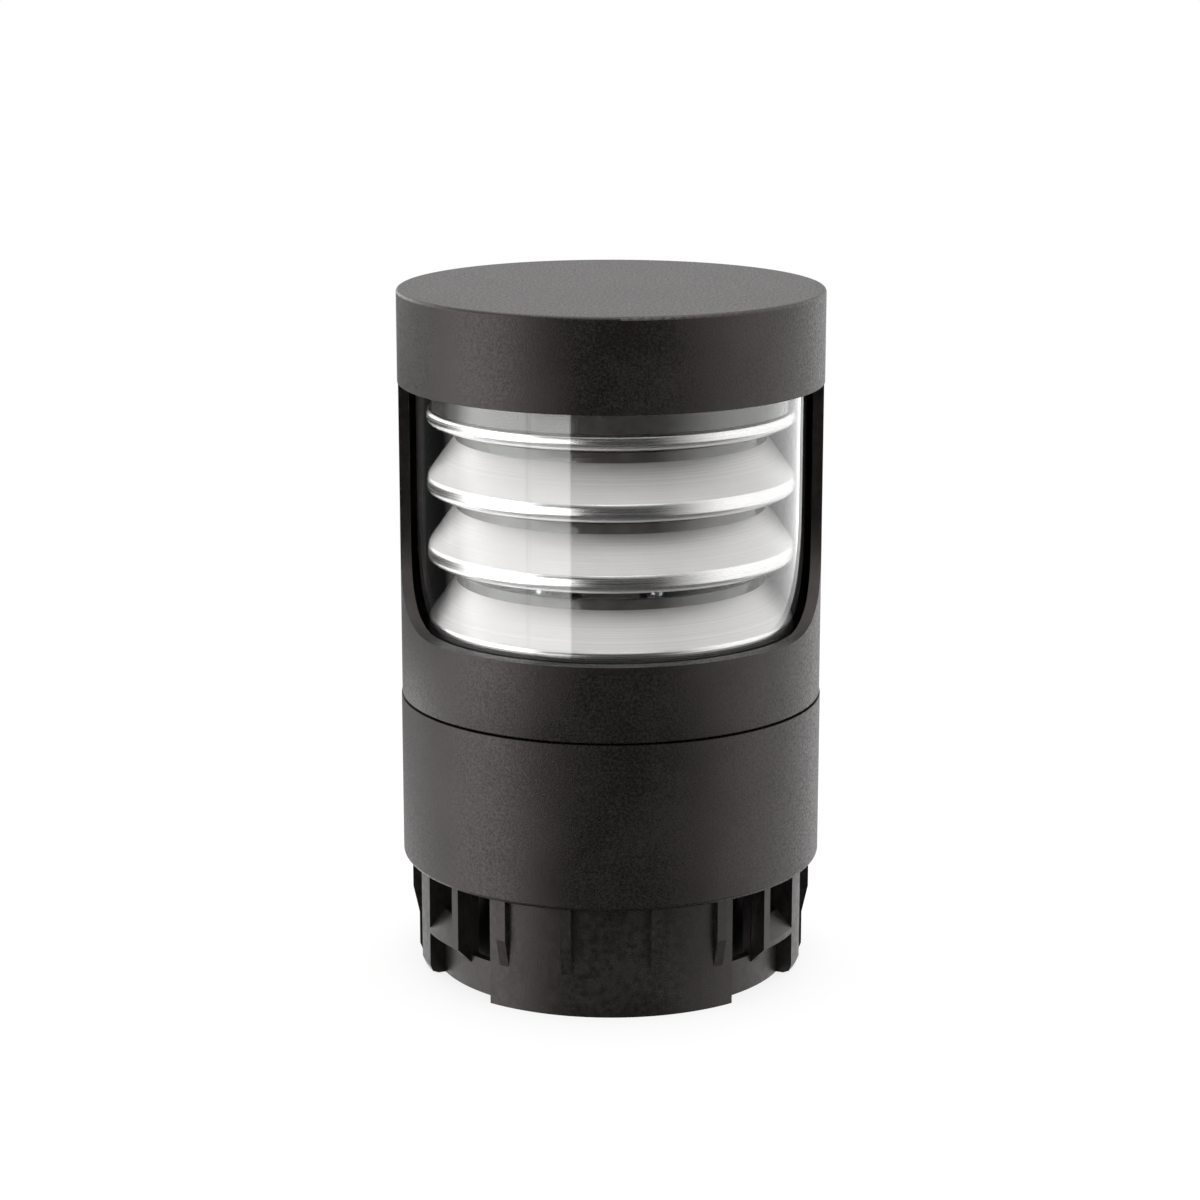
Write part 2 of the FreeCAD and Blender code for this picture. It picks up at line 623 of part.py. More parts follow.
def make_window_cage():
    body = make_body("window_cage")
    hoop_out = "%s - fitGap" % CAP_IN
    hoop_top = "%s + sealHeight + hoopRise" % GLASS_TOP
    turn_profile(body, "Tube", [
        ("%s - skirtWall" % SKIRT_OUT, SKIRT_FOOT), (SKIRT_OUT, SKIRT_FOOT),
        (SKIRT_OUT, "%s + seamGap" % SEAM), (CAGE_OUT, "%s + seamGap" % SEAM), (CAGE_OUT, CAP_RIM),
        (hoop_out, CAP_RIM), (hoop_out, hoop_top), (CAGE_IN, hoop_top), (CAGE_IN, SHELF), (SHELF_IN, SHELF),
        (SHELF_IN, SHELF_UNDER), ("%s - skirtWall" % SKIRT_OUT, SHELF_UNDER)])
    within, beyond = "%s - cutExtra" % CAGE_IN, "outerRadius + cutExtra"
    window_top = "%s + windowRise" % CAP_RIM
    turn_profile(body, "FrontWindow", [
        (within, SILL), (beyond, SILL), (beyond, window_top), (within, window_top)],
        span="2 * windowHalfAngle", middle="0", cut=True)

    def sill_corner(edge):
        if not isinstance(edge.Curve, Part.Line) or len(edge.Vertexes) != 2:
            return False
        first, second = (vertex.Point for vertex in edge.Vertexes)
        level = number(SILL)
        flat = abs(first.z - level) < 0.01 and abs(second.z - level) < 0.01
        return flat and abs(abs(first.x) - abs(second.x)) > 1
    round_edges(body, "WindowCorners", "windowCorner", sill_corner)
    thin_from = "%s - pillarWall" % CAGE_OUT
    thin_top = "%s - pillarBridge" % CAP_RIM
    turn_profile(body, "ThinEdges", [
        (within, SILL), (thin_from, SILL), (thin_from, thin_top), (within, thin_top)],
        span="2 * pillarHalfAngle", middle="0", cut=True)
    return node(body)


# Cap: lid and skirt, a ring that presses on the glass seal and four bosses for the tie rods

def make_top_cap():
    body = make_body("top_cap")
    press_in = "%s - fitGap" % GLASS_IN
    press_out = "%s - fitGap" % CAGE_IN
    press_foot = "%s + sealHeight" % GLASS_TOP
    turn_profile(body, "LidAndSkirt", [
        ("0", CEILING), (press_in, CEILING), (press_in, press_foot), (press_out, press_foot),
        (press_out, CEILING), (CAP_IN, CEILING), (CAP_IN, CAP_RIM), ("outerRadius", CAP_RIM),
        ("outerRadius", LID_TOP), ("0", LID_TOP)])
    round_edges(body, "LidEdge", "lidEdgeRadius", circle_test("outerRadius", LID_TOP))
    boss_height = "%s - %s + lidThickness / 4" % (CEILING, REFLECTOR_TOP)
    raise_circles(body, "Bosses", REFLECTOR_TOP, boss_height, ROD_SPOTS, "bossRadius")
    drill(body, "BossHoles", "%s + rodBite + holeEnd" % REFLECTOR_TOP, "rodBite + holeEnd",
          ROD_SPOTS, ROD_HOLE)
    return node(body)


def make_glass_and_seals():
    for label, foot, top in (("glass_tube", GLASS_FOOT, GLASS_TOP),
                             ("lower_glass_seal", SHELF, GLASS_FOOT),
                             ("upper_glass_seal", GLASS_TOP, "%s + sealHeight" % GLASS_TOP)):
        body = make_body(label)
        turn_profile(body, "Wall", [(GLASS_IN, foot), (GLASS_OUT, foot), (GLASS_OUT, top), (GLASS_IN, top)])
        node(body)
    body = make_body("seam_gasket")
    gasket_in = "%s - ledgeReach + gasketInset" % RING_IN
    gasket_out = "%s - fitGap" % RING_IN
    turn_profile(body, "Wall", [(gasket_in, LEDGE), (gasket_out, LEDGE), (gasket_out, SKIRT_FOOT),
                                (gasket_in, SKIRT_FOOT)])
    node(body)


# Louvres: upright rounded lip, polished cone above it and a flat flange inside for the rods

def make_louvre(label, level):
    body = make_body(label)
    lip = lip_top(level)
    lip_foot = "%s - lipHeight" % lip
    lip_in = "%s - louvreWall" % LIP_OUT
    flange = flange_top(level)
    flange_under = "%s - louvreWall" % flange
    if level < TOP_LEVEL:
        turn_profile(body, "LipAndCone", [
            (lip_in, lip_foot), (LIP_OUT, lip_foot), (LIP_OUT, lip), (CONE_IN, flange), (FLANGE_IN, flange),
            (FLANGE_IN, flange_under), ("%s - louvreWall / 3" % CONE_IN, flange_under),
            (lip_in, "%s - louvreWall / 3" % lip)])
    else:
        collar_out = "%s - collarInset" % LIP_OUT
        collar_in = "%s - louvreWall" % collar_out
        turn_profile(body, "LipAndCollar", [
            (lip_in, lip_foot), (LIP_OUT, lip_foot), (LIP_OUT, "%s - collarStep" % lip), (collar_out, lip),
            (collar_out, "%s + collarRise" % lip), (collar_in, "%s + collarRise" % lip),
            (collar_in, flange), (FLANGE_IN, flange), (FLANGE_IN, flange_under),
            (collar_in, flange_under), (collar_in, "%s - louvreWall" % lip),
            (lip_in, "%s - louvreWall - collarStep" % lip)])
    round_edges(body, "LipEdge", "lipRounding", circle_test(LIP_OUT, lip_foot))
    drill(body, "RodHoles", flange, "louvreWall", ROD_SPOTS, ROD_HOLE)
    return node(body)


def make_louvre_stack():
    for level, label in enumerate(("louvre_lower", "louvre_middle", "louvre_upper", "louvre_collar")):
        make_louvre(label, level)
    feet = [OPTIC_FLOOR] + [flange_top(level) for level in range(TOP_LEVEL)]
    tops = ["(%s - louvreWall)" % flange_top(level) for level in range(TOP_LEVEL + 1)]
    tubes = []
    posts = []
    for level, (foot, top) in enumerate(zip(feet, tops), start=1):
        length = "%s - %s" % (top, foot)
        where = ("0", "-rodCircle", foot)
        round_size = {"Radius": "spacerRadius", "Height": length}
        outer = solid("Cylinder", "SpacerOutside%d" % level, round_size, where)
        post = solid("Cylinder", "Post%d" % level, round_size, where)
        bore = solid("Cylinder", "SpacerBore%d" % level, {"Radius": ROD_HOLE, "Height": length}, where)
        tubes.append(cut("Spacer%d" % level, outer, bore))
        posts.append(post)
    for label, pieces, start in (("rod_spacers", tubes, 0), ("louvre_posts", posts, 45)):
        group = doc.addObject("Part::Compound", label + "_one")
        group.Links = pieces
        angles = [number("rodAngle") + start + 90 * index for index in range(4)]
        node(turned_copies(label, group, angles))


# Floor, reflector and tie rods of the optical chamber

def make_chamber():
    body = make_body("optic_floor")
    edge = "%s - fitGap" % GLASS_IN
    turn_profile(body, "Plate", [("columnBore", SHELF), (edge, SHELF), (edge, OPTIC_FLOOR),
                                 ("columnBore", OPTIC_FLOOR)])
    drill(body, "RodHoles", OPTIC_FLOOR, "opticFloorThickness", ROD_SPOTS, ROD_HOLE)
    drill(body, "FootHoles", OPTIC_FLOOR, "opticFloorThickness", FOOT_SPOTS, "smallScrewRadius + boltGap")
    node(body)

    body = make_body("top_reflector")
    edge = "%s - collarInset - louvreWall - fitGap" % LIP_OUT
    turn_profile(body, "Plate", [("0", flange_top(TOP_LEVEL)), (edge, flange_top(TOP_LEVEL)),
                                 (edge, REFLECTOR_TOP), ("0", REFLECTOR_TOP)])
    drill(body, "RodHoles", REFLECTOR_TOP, "reflectorThickness", ROD_SPOTS, ROD_HOLE)
    node(body)

    foot = "%s - rodTail" % SHELF
    rod_length = "%s + rodBite - (%s)" % (REFLECTOR_TOP, foot)
    rod = solid("Cylinder", "RodOne", {"Radius": "rodRadius", "Height": rod_length},
                ("0", "-rodCircle", foot))
    angles = [number(angle) for angle in ROD_ANGLES]
    node(turned_copies("tie_rods", rod, angles))
    hexagon = solid("Prism", "NutHexagon", {"Circumradius": "nutFlats / sqrt(3)", "Height": "nutHeight"},
                    ("0", "-rodCircle", "%s - nutHeight" % SHELF))
    bore = solid("Cylinder", "NutBore", {"Radius": ROD_HOLE, "Height": "nutHeight"},
                 ("0", "-rodCircle", "%s - nutHeight" % SHELF))
    node(turned_copies("tie_rod_nuts", cut("NutOne", hexagon, bore), angles))


FOOT_SPOTS = [("%s * footScrewSpacing / 2" % right, "%s * footScrewSpacing / 2" % back)
              for right in (1, -1) for back in (1, -1)]


# Light source: square column with a foot, boards on its front and sides and the chips on the boards

def make_light_source():
    column_top = "(%s - columnTopDrop)" % LID_TOP
    half = "columnWidth / 2"
    body = make_body("led_column")
    sketch = make_sketch(body, "ColumnSketch", "XY_Plane", height=OPTIC_FLOOR)
    near = "(%s - columnChamfer)" % half
    outline(sketch, [(half, "-" + near), (half, near), (near, half), ("-" + near, half),
                     ("-" + half, near), ("-" + half, "-" + near), ("-" + near, "-" + half),
                     (near, "-" + half)])
    column = body.newObject("PartDesign::Pad", "Column")
    column.Profile = sketch
    bind(column, "Length", "%s - %s" % (column_top, OPTIC_FLOOR))
    sketch = make_sketch(body, "FootSketch", "XY_Plane", height=OPTIC_FLOOR)
    side = "footWidth / 2"
    outline(sketch, [(side, "-" + side), (side, side), ("-" + side, side), ("-" + side, "-" + side)])
    foot = body.newObject("PartDesign::Pad", "Foot")
    foot.Profile = sketch
    bind(foot, "Length", "footThickness")
    drill(body, "LeadBore", column_top, "%s - %s" % (column_top, OPTIC_FLOOR), [("0", "0")], "columnBore")
    foot_top = "(%s + footThickness)" % OPTIC_FLOOR
    drill(body, "FootHoles", foot_top, "footThickness", FOOT_SPOTS, "smallScrewRadius + boltGap")
    node(body)

    screw = small_screw("ColumnScrew", foot_top, "footThickness + opticFloorThickness + footScrewTail")
    spots = [(number(x), number(y), 0) for x, y in FOOT_SPOTS]
    node(moved_copies("column_screws", screw, spots))

    board_foot = "(%s + boardMargin)" % foot_top
    board_height = "(%s - boardMargin - %s)" % (column_top, board_foot)
    board = block("Board", "boardWidth", "boardThickness", board_height,
                  ("0", "-(%s + boardThickness / 2)" % half, board_foot))
    board_angles = [0, 90, -90]
    node(turned_copies("led_boards", board, board_angles))

    # a row of chips at the middle of each gap in the louvre stack
    chips = []
    for row in (1, 2, 3):
        gap_sum = "%s - lipHeight + %s" % (lip_top(row), flange_top(row - 1))
        for side in (-1, 1):
            chips.append(block("Chip%d" % (len(chips) + 1), "chipWidth", "chipHeight", "chipWidth",
                               ("%s * chipSpacing / 2" % side,
                                "-(%s + boardThickness + chipHeight / 2)" % half,
                                "(%s) / 2 - chipWidth / 2" % gap_sum)))
    strip = doc.addObject("Part::Compound", "ChipStrip")
    strip.Links = chips
    node(turned_copies("led_chips", strip, board_angles))


def small_screw(name, seat, length):
    """Pan head screw on the axis whose head stands on a level."""
    head = solid("Cylinder", name + "Head", {"Radius": "smallHeadRadius", "Height": "smallHeadHeight"},
                 ("0", "0", seat))
    shank = solid("Cylinder", name + "Shank", {"Radius": "smallScrewRadius", "Height": length},
                  ("0", "0", "%s - (%s)" % (seat, length)))
    return fuse(name, [head, shank])


# Plug under the optical floor and the socket on the driver's bracket

BRACKET_TOP = "(%s + driverHeight + fitGap + bracketSheet)" % FLANGE_TOP
PLUG_FOOT = "(%s - plugHeight)" % SHELF
PIN_PLACES = (-1, 0, 1)


def make_connector():
    plug = block("PlugBody", "plugWidth", "plugDepth", "plugHeight", ("0", "0", PLUG_FOOT))
    pins = [solid("Cylinder", "Pin%d" % (index + 1), {"Radius": "pinRadius", "Height": "pinLength"},
                  ("%d * pinSpacing" % place, "0", "%s - pinLength" % PLUG_FOOT))
            for index, place in enumerate(PIN_PLACES)]
    lip = doc.addObject("Part::Chamfer", "plug_connector")
    doc.recompute()
    lip.Base = plug
    size = number("plugChamfer")
    lip.Edges = [(index + 1, size, size) for index, edge in enumerate(plug.Shape.Edges)
                 if abs(edge.Vertexes[0].Point.z - edge.Vertexes[1].Point.z) > 1]
    node(lip)
    group = doc.addObject("Part::Compound", "plug_pins")
    group.Links = pins
    node(group)

    height = "%s - fitGap - %s" % (PLUG_FOOT, BRACKET_TOP)
    base = block("SocketBody", "plugWidth + 2 * socketWall", "plugDepth + 2 * socketWall", height,
                 ("0", "0", BRACKET_TOP))
    holes = [solid("Cylinder", "PinHole%d" % (index + 1),
                   {"Radius": "pinRadius + fitGap", "Height": "pinLength + pinWell"},
                   ("%d * pinSpacing" % place, "0", "%s - pinLength - pinWell" % PLUG_FOOT))
             for index, place in enumerate(PIN_PLACES)]
    node(cut("socket_connector", base, fuse("PinHoles", holes)))


# Driver and its bracket, terminal block and earth screw on the spigot's floor

def make_supply():
    doc.recompute()
    case = block("DriverBlock", "driverLength", "driverWidth", "driverHeight", ("0", "0", FLANGE_TOP))
    doc.recompute()
    driver = doc.addObject("Part::Chamfer", "driver")
    driver.Base = case
    size = number("driverChamfer")
    top = number("%s + driverHeight" % FLANGE_TOP)
    driver.Edges = [(index + 1, size, size) for index, edge in enumerate(case.Shape.Edges)
                    if all(abs(vertex.Point.z - top) < 0.01 for vertex in edge.Vertexes)]
    node(driver)

    body = make_body("driver_bracket")
    sketch = make_sketch(body, "StripSketch", "XZ_Plane")
    inside = "(driverLength / 2 + fitGap)"
    outside = "(%s + bracketSheet)" % inside
    toe = "(%s + bracketFoot)" % outside
    under = "(%s - bracketSheet)" % BRACKET_TOP
    sole = "(%s + bracketSheet)" % FLANGE_TOP
    right = [(inside, under), (inside, FLANGE_TOP), (toe, FLANGE_TOP), (toe, sole), (outside, sole),
             (outside, BRACKET_TOP)]
    left = [("-" + across, up) for across, up in reversed(right)]
    outline(sketch, right + left)
    strip = body.newObject("PartDesign::Pad", "Strip")
    strip.Profile = sketch
    strip.SideType = "Symmetric"
    bind(strip, "Length", "bracketWidth")
    spots = [(BRACKET_SCREW, "0"), ("-" + BRACKET_SCREW, "0")]
    drill(body, "FootHoles", sole, "bracketSheet", spots, "smallScrewRadius + boltGap")
    node(body)
    screw = small_screw("BracketScrew", sole, "bracketSheet + spigotFloor * 5 / 8")
    place = number(BRACKET_SCREW)
    node(moved_copies("bracket_screws", screw, [(place, 0, 0), (-place, 0, 0)]))

    body = make_body("terminal_block")
    sketch = make_sketch(body, "EndSketch", "YZ_Plane")
    near = "-(terminalPlace + terminalWidth / 2)"
    far = "-(terminalPlace - terminalWidth / 2)"
    step = "-(terminalPlace + terminalWidth / 2 - terminalStep)"
    outline(sketch, [(near, FLANGE_TOP), (far, FLANGE_TOP), (far, "%s + terminalHeight" % FLANGE_TOP),
                     (step, "%s + terminalHeight" % FLANGE_TOP), (step, "%s + terminalStep" % FLANGE_TOP),
                     (near, "%s + terminalStep" % FLANGE_TOP)])
    block_pad = body.newObject("PartDesign::Pad", "Block")
    block_pad.Profile = sketch
    block_pad.SideType = "Symmetric"
    bind(block_pad, "Length", "terminalLength")
    ways = int(number("terminalWays"))
    row = "-(terminalPlace - terminalStep / 2)"
    spots = [("terminalLength * %s" % ((index + 0.5) / ways - 0.5), row) for index in range(ways)]
    block_top = "%s + terminalHeight" % FLANGE_TOP
    drill(body, "ScrewWells", block_top, "terminalWell", spots, "smallHeadRadius + boltGap")
    node(body)
    screw = solid("Cylinder", "TerminalScrew", {"Radius": "smallHeadRadius", "Height": "terminalScrew"},
                  ("0", "0", "%s - terminalWell" % block_top))
    node(moved_copies("terminal_screws", screw, [(number(x), number(y), 0) for x, y in spots]))

    where = ("earthPlace", "glandPlace - earthForward")
    washer = solid("Cylinder", "EarthWasher", {"Radius": "washerRadius", "Height": "washerThickness"},
                   (where[0], where[1], FLANGE_TOP))
    nut = solid("Prism", "EarthNut", {"Circumradius": "nutFlats / sqrt(3)", "Height": "nutHeight"},
                (where[0], where[1], "%s + washerThickness" % FLANGE_TOP))
    stud = solid("Cylinder", "EarthStud", {"Radius": "rodRadius", "Height": "earthHeight"},
                 (where[0], where[1], FLANGE_TOP))
    node(fuse("earth_screw", [washer, nut, stud]))


# Cable gland through the spigot's floor, its domed nut below and its lock nut above

def make_gland():
    spot = ("0", "glandPlace")
    hex_foot = "(spigotLength - glandHexHeight)"
    neck_foot = "(%s - glandNeckLength)" % hex_foot
    nut_foot = "(%s - glandNutLength)" % hex_foot
    neck = "(glandThread - glandNeckInset)"
    corner = "glandHexFlats / sqrt(3)"
    thread_top = "(%s + glandThreadRise)" % FLANGE_TOP
    at_hex, at_neck, at_nut = spot + (hex_foot,), spot + (neck_foot,), spot + (nut_foot,)
    at_floor = spot + (FLANGE_TOP,)
    thread_length = "%s - %s" % (thread_top, hex_foot)
    way_length = "%s - %s" % (thread_top, neck_foot)
    hexagon = solid("Prism", "GlandHexagon", {"Circumradius": corner, "Height": "glandHexHeight"}, at_hex)
    thread = solid("Cylinder", "GlandThread", {"Radius": "glandThread", "Height": thread_length}, at_hex)
    below = solid("Cylinder", "GlandNeck", {"Radius": neck, "Height": "glandNeckLength"}, at_neck)
    way = solid("Cylinder", "GlandWay", {"Radius": "glandBore + glandWayGap", "Height": way_length}, at_neck)
    node(cut("cable_gland", fuse("GlandOutside", [hexagon, thread, below]), way))

    grip = solid("Prism", "NutGrip", {"Circumradius": corner, "Height": "glandGripLength"},
                 spot + ("%s - glandGripLength" % hex_foot,))
    dome = solid("Cone", "NutDome", {"Radius1": "glandThread - domeInset", "Radius2": "glandHexFlats / 2",
                                     "Height": "glandNutLength - glandGripLength"}, at_nut)
    seal_foot = "(%s + domeEnd)" % nut_foot
    hollow_size = {"Radius": "%s + boltGap" % neck, "Height": "glandNutLength - domeEnd"}
    hollow = solid("Cylinder", "NutHollow", hollow_size, spot + (seal_foot,))
    mouth = solid("Cylinder", "NutMouth", {"Radius": "glandBore + mouthGap", "Height": "domeEnd"}, at_nut)
    node(cut("gland_nut", fuse("NutOutside", [grip, dome]), fuse("NutInside", [hollow, mouth])))

    seal_length = "%s - %s" % (neck_foot, seal_foot)
    at_seal = spot + (seal_foot,)
    ring = solid("Cylinder", "SealRing", {"Radius": neck, "Height": seal_length}, at_seal)
    hole = solid("Cylinder", "SealHole", {"Radius": "glandBore", "Height": seal_length}, at_seal)
    node(cut("gland_seal", ring, hole))

    locking = solid("Prism", "LockHexagon", {"Circumradius": corner, "Height": "lockNutHeight"}, at_floor)
    bore_size = {"Radius": "glandThread + boltGap", "Height": "lockNutHeight"}
    inside = solid("Cylinder", "LockBore", bore_size, at_floor)
    node(cut("gland_lock_nut", locking, inside))


def make_fasteners():
    head = solid("Cylinder", "SpigotScrewHead", {"Radius": "screwHeadRadius", "Height": "screwHeadHeight"},
                 ("0", "-screwCircle", "spigotLength - screwHeadHeight"))
    shank_size = {"Radius": "screwRadius", "Height": "spigotFloor + screwBite"}
    shank = solid("Cylinder", "SpigotScrewShank", shank_size, ("0", "-screwCircle", "spigotLength"))
    angles = [number(angle) for angle in SCREW_ANGLES]
    node(turned_copies("spigot_screws", fuse("SpigotScrew", [head, shank]), angles))

    grub = solid("Cylinder", "GrubBlank", {"Radius": "grubRadius", "Height": "grubLength"},
                 ("0", "outerRadius - fitGap", GRUB_LEVEL))
    grub.Placement = FreeCAD.Placement(grub.Placement.Base, FreeCAD.Rotation(V(1, 0, 0), 90))
    socket = solid("Prism", "GrubSocket", {"Circumradius": "grubRadius / 2", "Height": "grubLength / 2"},
                   ("0", "outerRadius - fitGap", GRUB_LEVEL))
    socket.Placement = FreeCAD.Placement(socket.Placement.Base, FreeCAD.Rotation(V(1, 0, 0), 90))
    angles = [number(angle) for angle in GRUB_ANGLES]
    node(turned_copies("head_grub_screws", cut("GrubOne", grub, socket), angles))


make_spigot()
make_base_ring()
make_window_cage()
make_top_cap()
make_glass_and_seals()
make_louvre_stack()
make_chamber()
make_light_source()
make_connector()
make_supply()
make_gland()
make_fasteners()
doc.recompute()

for item in doc.Objects:
    if "Invalid" in item.State or "Error" in item.State:
        raise ValueError("%s did not build" % item.Name)
os.makedirs("parts", exist_ok=True)
for item in NODES:
    shape = item.Shape
    if shape.isNull() or not shape.isValid():
        raise ValueError("%s has no valid solid" % item.Label)
    shape.exportStep("parts/%s.step" % item.Label)
print("%d pieces written" % len(NODES))
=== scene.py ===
# Bollard light head on its pole spigot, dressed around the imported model.
# The frame, the camera and the lamps are in metres; pieces and patterns are in millimetres.
import math

import bpy
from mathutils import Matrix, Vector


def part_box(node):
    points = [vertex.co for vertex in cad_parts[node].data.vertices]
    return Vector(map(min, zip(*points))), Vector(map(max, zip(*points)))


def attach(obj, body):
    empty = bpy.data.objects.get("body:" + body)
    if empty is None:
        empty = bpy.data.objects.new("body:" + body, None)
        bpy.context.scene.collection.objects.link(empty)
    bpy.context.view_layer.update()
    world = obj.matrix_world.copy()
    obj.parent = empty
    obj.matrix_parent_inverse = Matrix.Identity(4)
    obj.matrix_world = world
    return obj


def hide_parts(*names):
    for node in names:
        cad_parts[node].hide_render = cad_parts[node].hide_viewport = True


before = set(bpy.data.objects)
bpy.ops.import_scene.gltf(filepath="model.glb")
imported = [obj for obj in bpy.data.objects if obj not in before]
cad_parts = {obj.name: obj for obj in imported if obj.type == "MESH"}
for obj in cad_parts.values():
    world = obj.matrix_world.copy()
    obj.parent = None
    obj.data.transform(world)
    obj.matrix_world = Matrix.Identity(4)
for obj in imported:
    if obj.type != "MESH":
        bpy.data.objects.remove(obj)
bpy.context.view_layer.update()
print("frame loaded,", len(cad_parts), "nodes")

# The camera stands where the photograph was taken from: a long lens, a little above the cap.
camera = {"place": (-0.00388, -1.0728, 0.3884), "tilt": 76.535, "lens": 92.68, "sensor": 36}
bpy.ops.object.camera_add(location=camera["place"],
                          rotation=(math.radians(camera["tilt"]), 0, 0))
bpy.context.scene.camera = bpy.context.object
bpy.context.object.data.lens = camera["lens"]
bpy.context.object.data.sensor_width = camera["sensor"]
bpy.context.scene.view_settings.view_transform = "Standard"


def linear(code):
    # one sRGB hex code as the linear colour that a node wants
    parts = [int(code[i:i + 2], 16) / 255 for i in (1, 3, 5)]
    return [c / 12.92 if c <= 0.04045 else ((c + 0.055) / 1.055) ** 2.4 for c in parts] + [1]


def addNode(tree, kind, inputs=None, **settings):
    # a node with its settings; an input is a plain value or another node's socket
    node = tree.nodes.new("ShaderNode" + kind)
    for name, value in settings.items():
        setattr(node, name, value)
    for name, value in (inputs or {}).items():
        if isinstance(value, bpy.types.NodeSocket):
            tree.links.new(value, node.inputs[name])
        else:
            node.inputs[name].default_value = value
    return node


def newMaterial(name):
    material = bpy.data.materials.new(name)
    material.use_nodes = True
    tree = material.node_tree
    shader = tree.nodes["Principled BSDF"]
    place = addNode(tree, "TexCoord").outputs["Object"]
    return material, tree, shader, place


def setInputs(shader, values):
    for name, value in values.items():
        shader.inputs[name].default_value = value


def combined(tree, operation, first, second):
    # a maths node on two values or sockets
    return addNode(tree, "Math", {0: first, 1: second}, operation=operation).outputs[0]


def mapped(tree, value, fromLow, fromHigh, low, high, ease="LINEAR"):
    # a value brought from one range to another
    return addNode(tree, "MapRange", {"Value": value, "From Min": fromLow, "From Max": fromHigh,
                                      "To Min": low, "To Max": high},
                   interpolation_type=ease).outputs["Result"]


def grain(tree, place, size, detail):
    # a noise whose grain is given in millimetres
    return addNode(tree, "TexNoise", {"Vector": place, "Scale": 1000 / size,
                                      "Detail": detail}).outputs["Fac"]


# Nearly all of a noise lies between these two values.
noiseRange = (0.35, 0.65)


def spread(tree, noise, low, high):
    return mapped(tree, noise, *noiseRange, low, high)


def blendColour(tree, factor, first, second):
    mix = addNode(tree, "Mix", {0: factor}, data_type="RGBA")
    for socket, value in zip((6, 7), (first, second)):
        mix.inputs[socket].default_value = linear(value)
    return mix.outputs[2]


def relief(tree, height, depth):
    # depth is the real height of the pattern, in millimetres
    return addNode(tree, "Bump", {"Height": height, "Distance": depth / 1000,
                                  "Strength": 1.0}).outputs["Normal"]


def textured(shader, tree, colour, roughness, normal):
    for name, socket in (("Base Color", colour), ("Roughness", roughness), ("Normal", normal)):
        tree.links.new(socket, shader.inputs[name])


# Polyester powder on die-cast aluminium, sprayed dry and melted in an oven. It flows out into
# fine dull pebbles, so a reflection is only a broad pale veil. The real pebbles are about 0.3 mm;
# they are drawn 0.5 mm so that they show. The contrast is where specks and clouds turn paler.
powder = {"dark": "#12110f", "light": "#1e1c1b", "pebble": 0.5, "speck": 0.9, "cloud": 22,
          "contrast": (0.8, 1.2), "height": 0.055, "roughness": (0.32, 0.54), "specular": 0.44,
          "tint": "#fff4f2"}


def powderCoat(name, sizes):
    material, tree, shader, place = newMaterial(name)
    pebble = grain(tree, place, sizes["pebble"], 2)
    speck = grain(tree, place, sizes["speck"], 3)
    cloud = grain(tree, place, sizes["cloud"], 2)
    mottle = mapped(tree, combined(tree, "ADD", speck, cloud), *sizes["contrast"], 0, 1)
    textured(shader, tree, blendColour(tree, mottle, sizes["dark"], sizes["light"]),
             spread(tree, speck, *sizes["roughness"]), relief(tree, pebble, sizes["height"]))
    setInputs(shader, {"Specular IOR Level": sizes["specular"],
                       "Specular Tint": linear(sizes["tint"])})
    return material


charcoalPowder = powderCoat("powder coated die-cast aluminium", powder)
spigotPowder = powderCoat("powder coated spigot casting", powder | {
    "dark": "#161514", "light": "#252322", "speck": 2.2, "roughness": (0.38, 0.5)})

# Drawn borosilicate tube, clear, with fire-polished faces: only its edges and its mirror images
# show.
clearTube, tree, shader, place = newMaterial("clear borosilicate glass")
setInputs(shader, {"Base Color": linear("#fbfdfc"), "Transmission Weight": 1, "IOR": 1.47,
                   "Roughness": 0.0})

# Spun aluminium, bead blasted on the cones and anodised: pale, milky and almost without a mirror
# image. The spinning tool leaves hair lines round each ring. The rolled lip is masked from the
# blasting and stays polished.
bright = {"light": "#e8e4e4", "dark": "#d9d5d5", "line": 0.35, "height": 0.004,
          "roughness": (0.56, 0.64), "anisotropic": 0.1}


def spunMetal(name, sizes):
    material, tree, shader, place = newMaterial(name)
    axes = addNode(tree, "SeparateXYZ", {"Vector": place}).outputs
    flat = addNode(tree, "CombineXYZ", {"X": axes["X"], "Y": axes["Y"]}).outputs[0]
    radius = addNode(tree, "VectorMath", {0: flat}, operation="LENGTH").outputs["Value"]
    section = addNode(tree, "CombineXYZ", {"X": radius, "Y": axes["Z"]}).outputs[0]
    lines = grain(tree, section, sizes["line"], 3)
    colour = blendColour(tree, spread(tree, lines, 0, 1), sizes["dark"], sizes["light"])
    textured(shader, tree, colour, spread(tree, lines, *sizes["roughness"]),
             relief(tree, lines, sizes["height"]))
    setInputs(shader, {"Metallic": 1, "Anisotropic": sizes["anisotropic"]})
    return material


spunAluminium = spunMetal("blasted and anodised spun aluminium", bright)
polishedAluminium = spunMetal("polished and anodised aluminium", bright | {
    "light": "#e6e2e2", "dark": "#d6d2d2", "line": 0.5, "roughness": (0.22, 0.3),
    "anisotropic": 0.3})
turnedAluminium = spunMetal("turned bare aluminium", bright | {
    "light": "#c9cacb", "dark": "#b4b5b7", "line": 0.6, "height": 0.01, "roughness": (0.3, 0.42)})


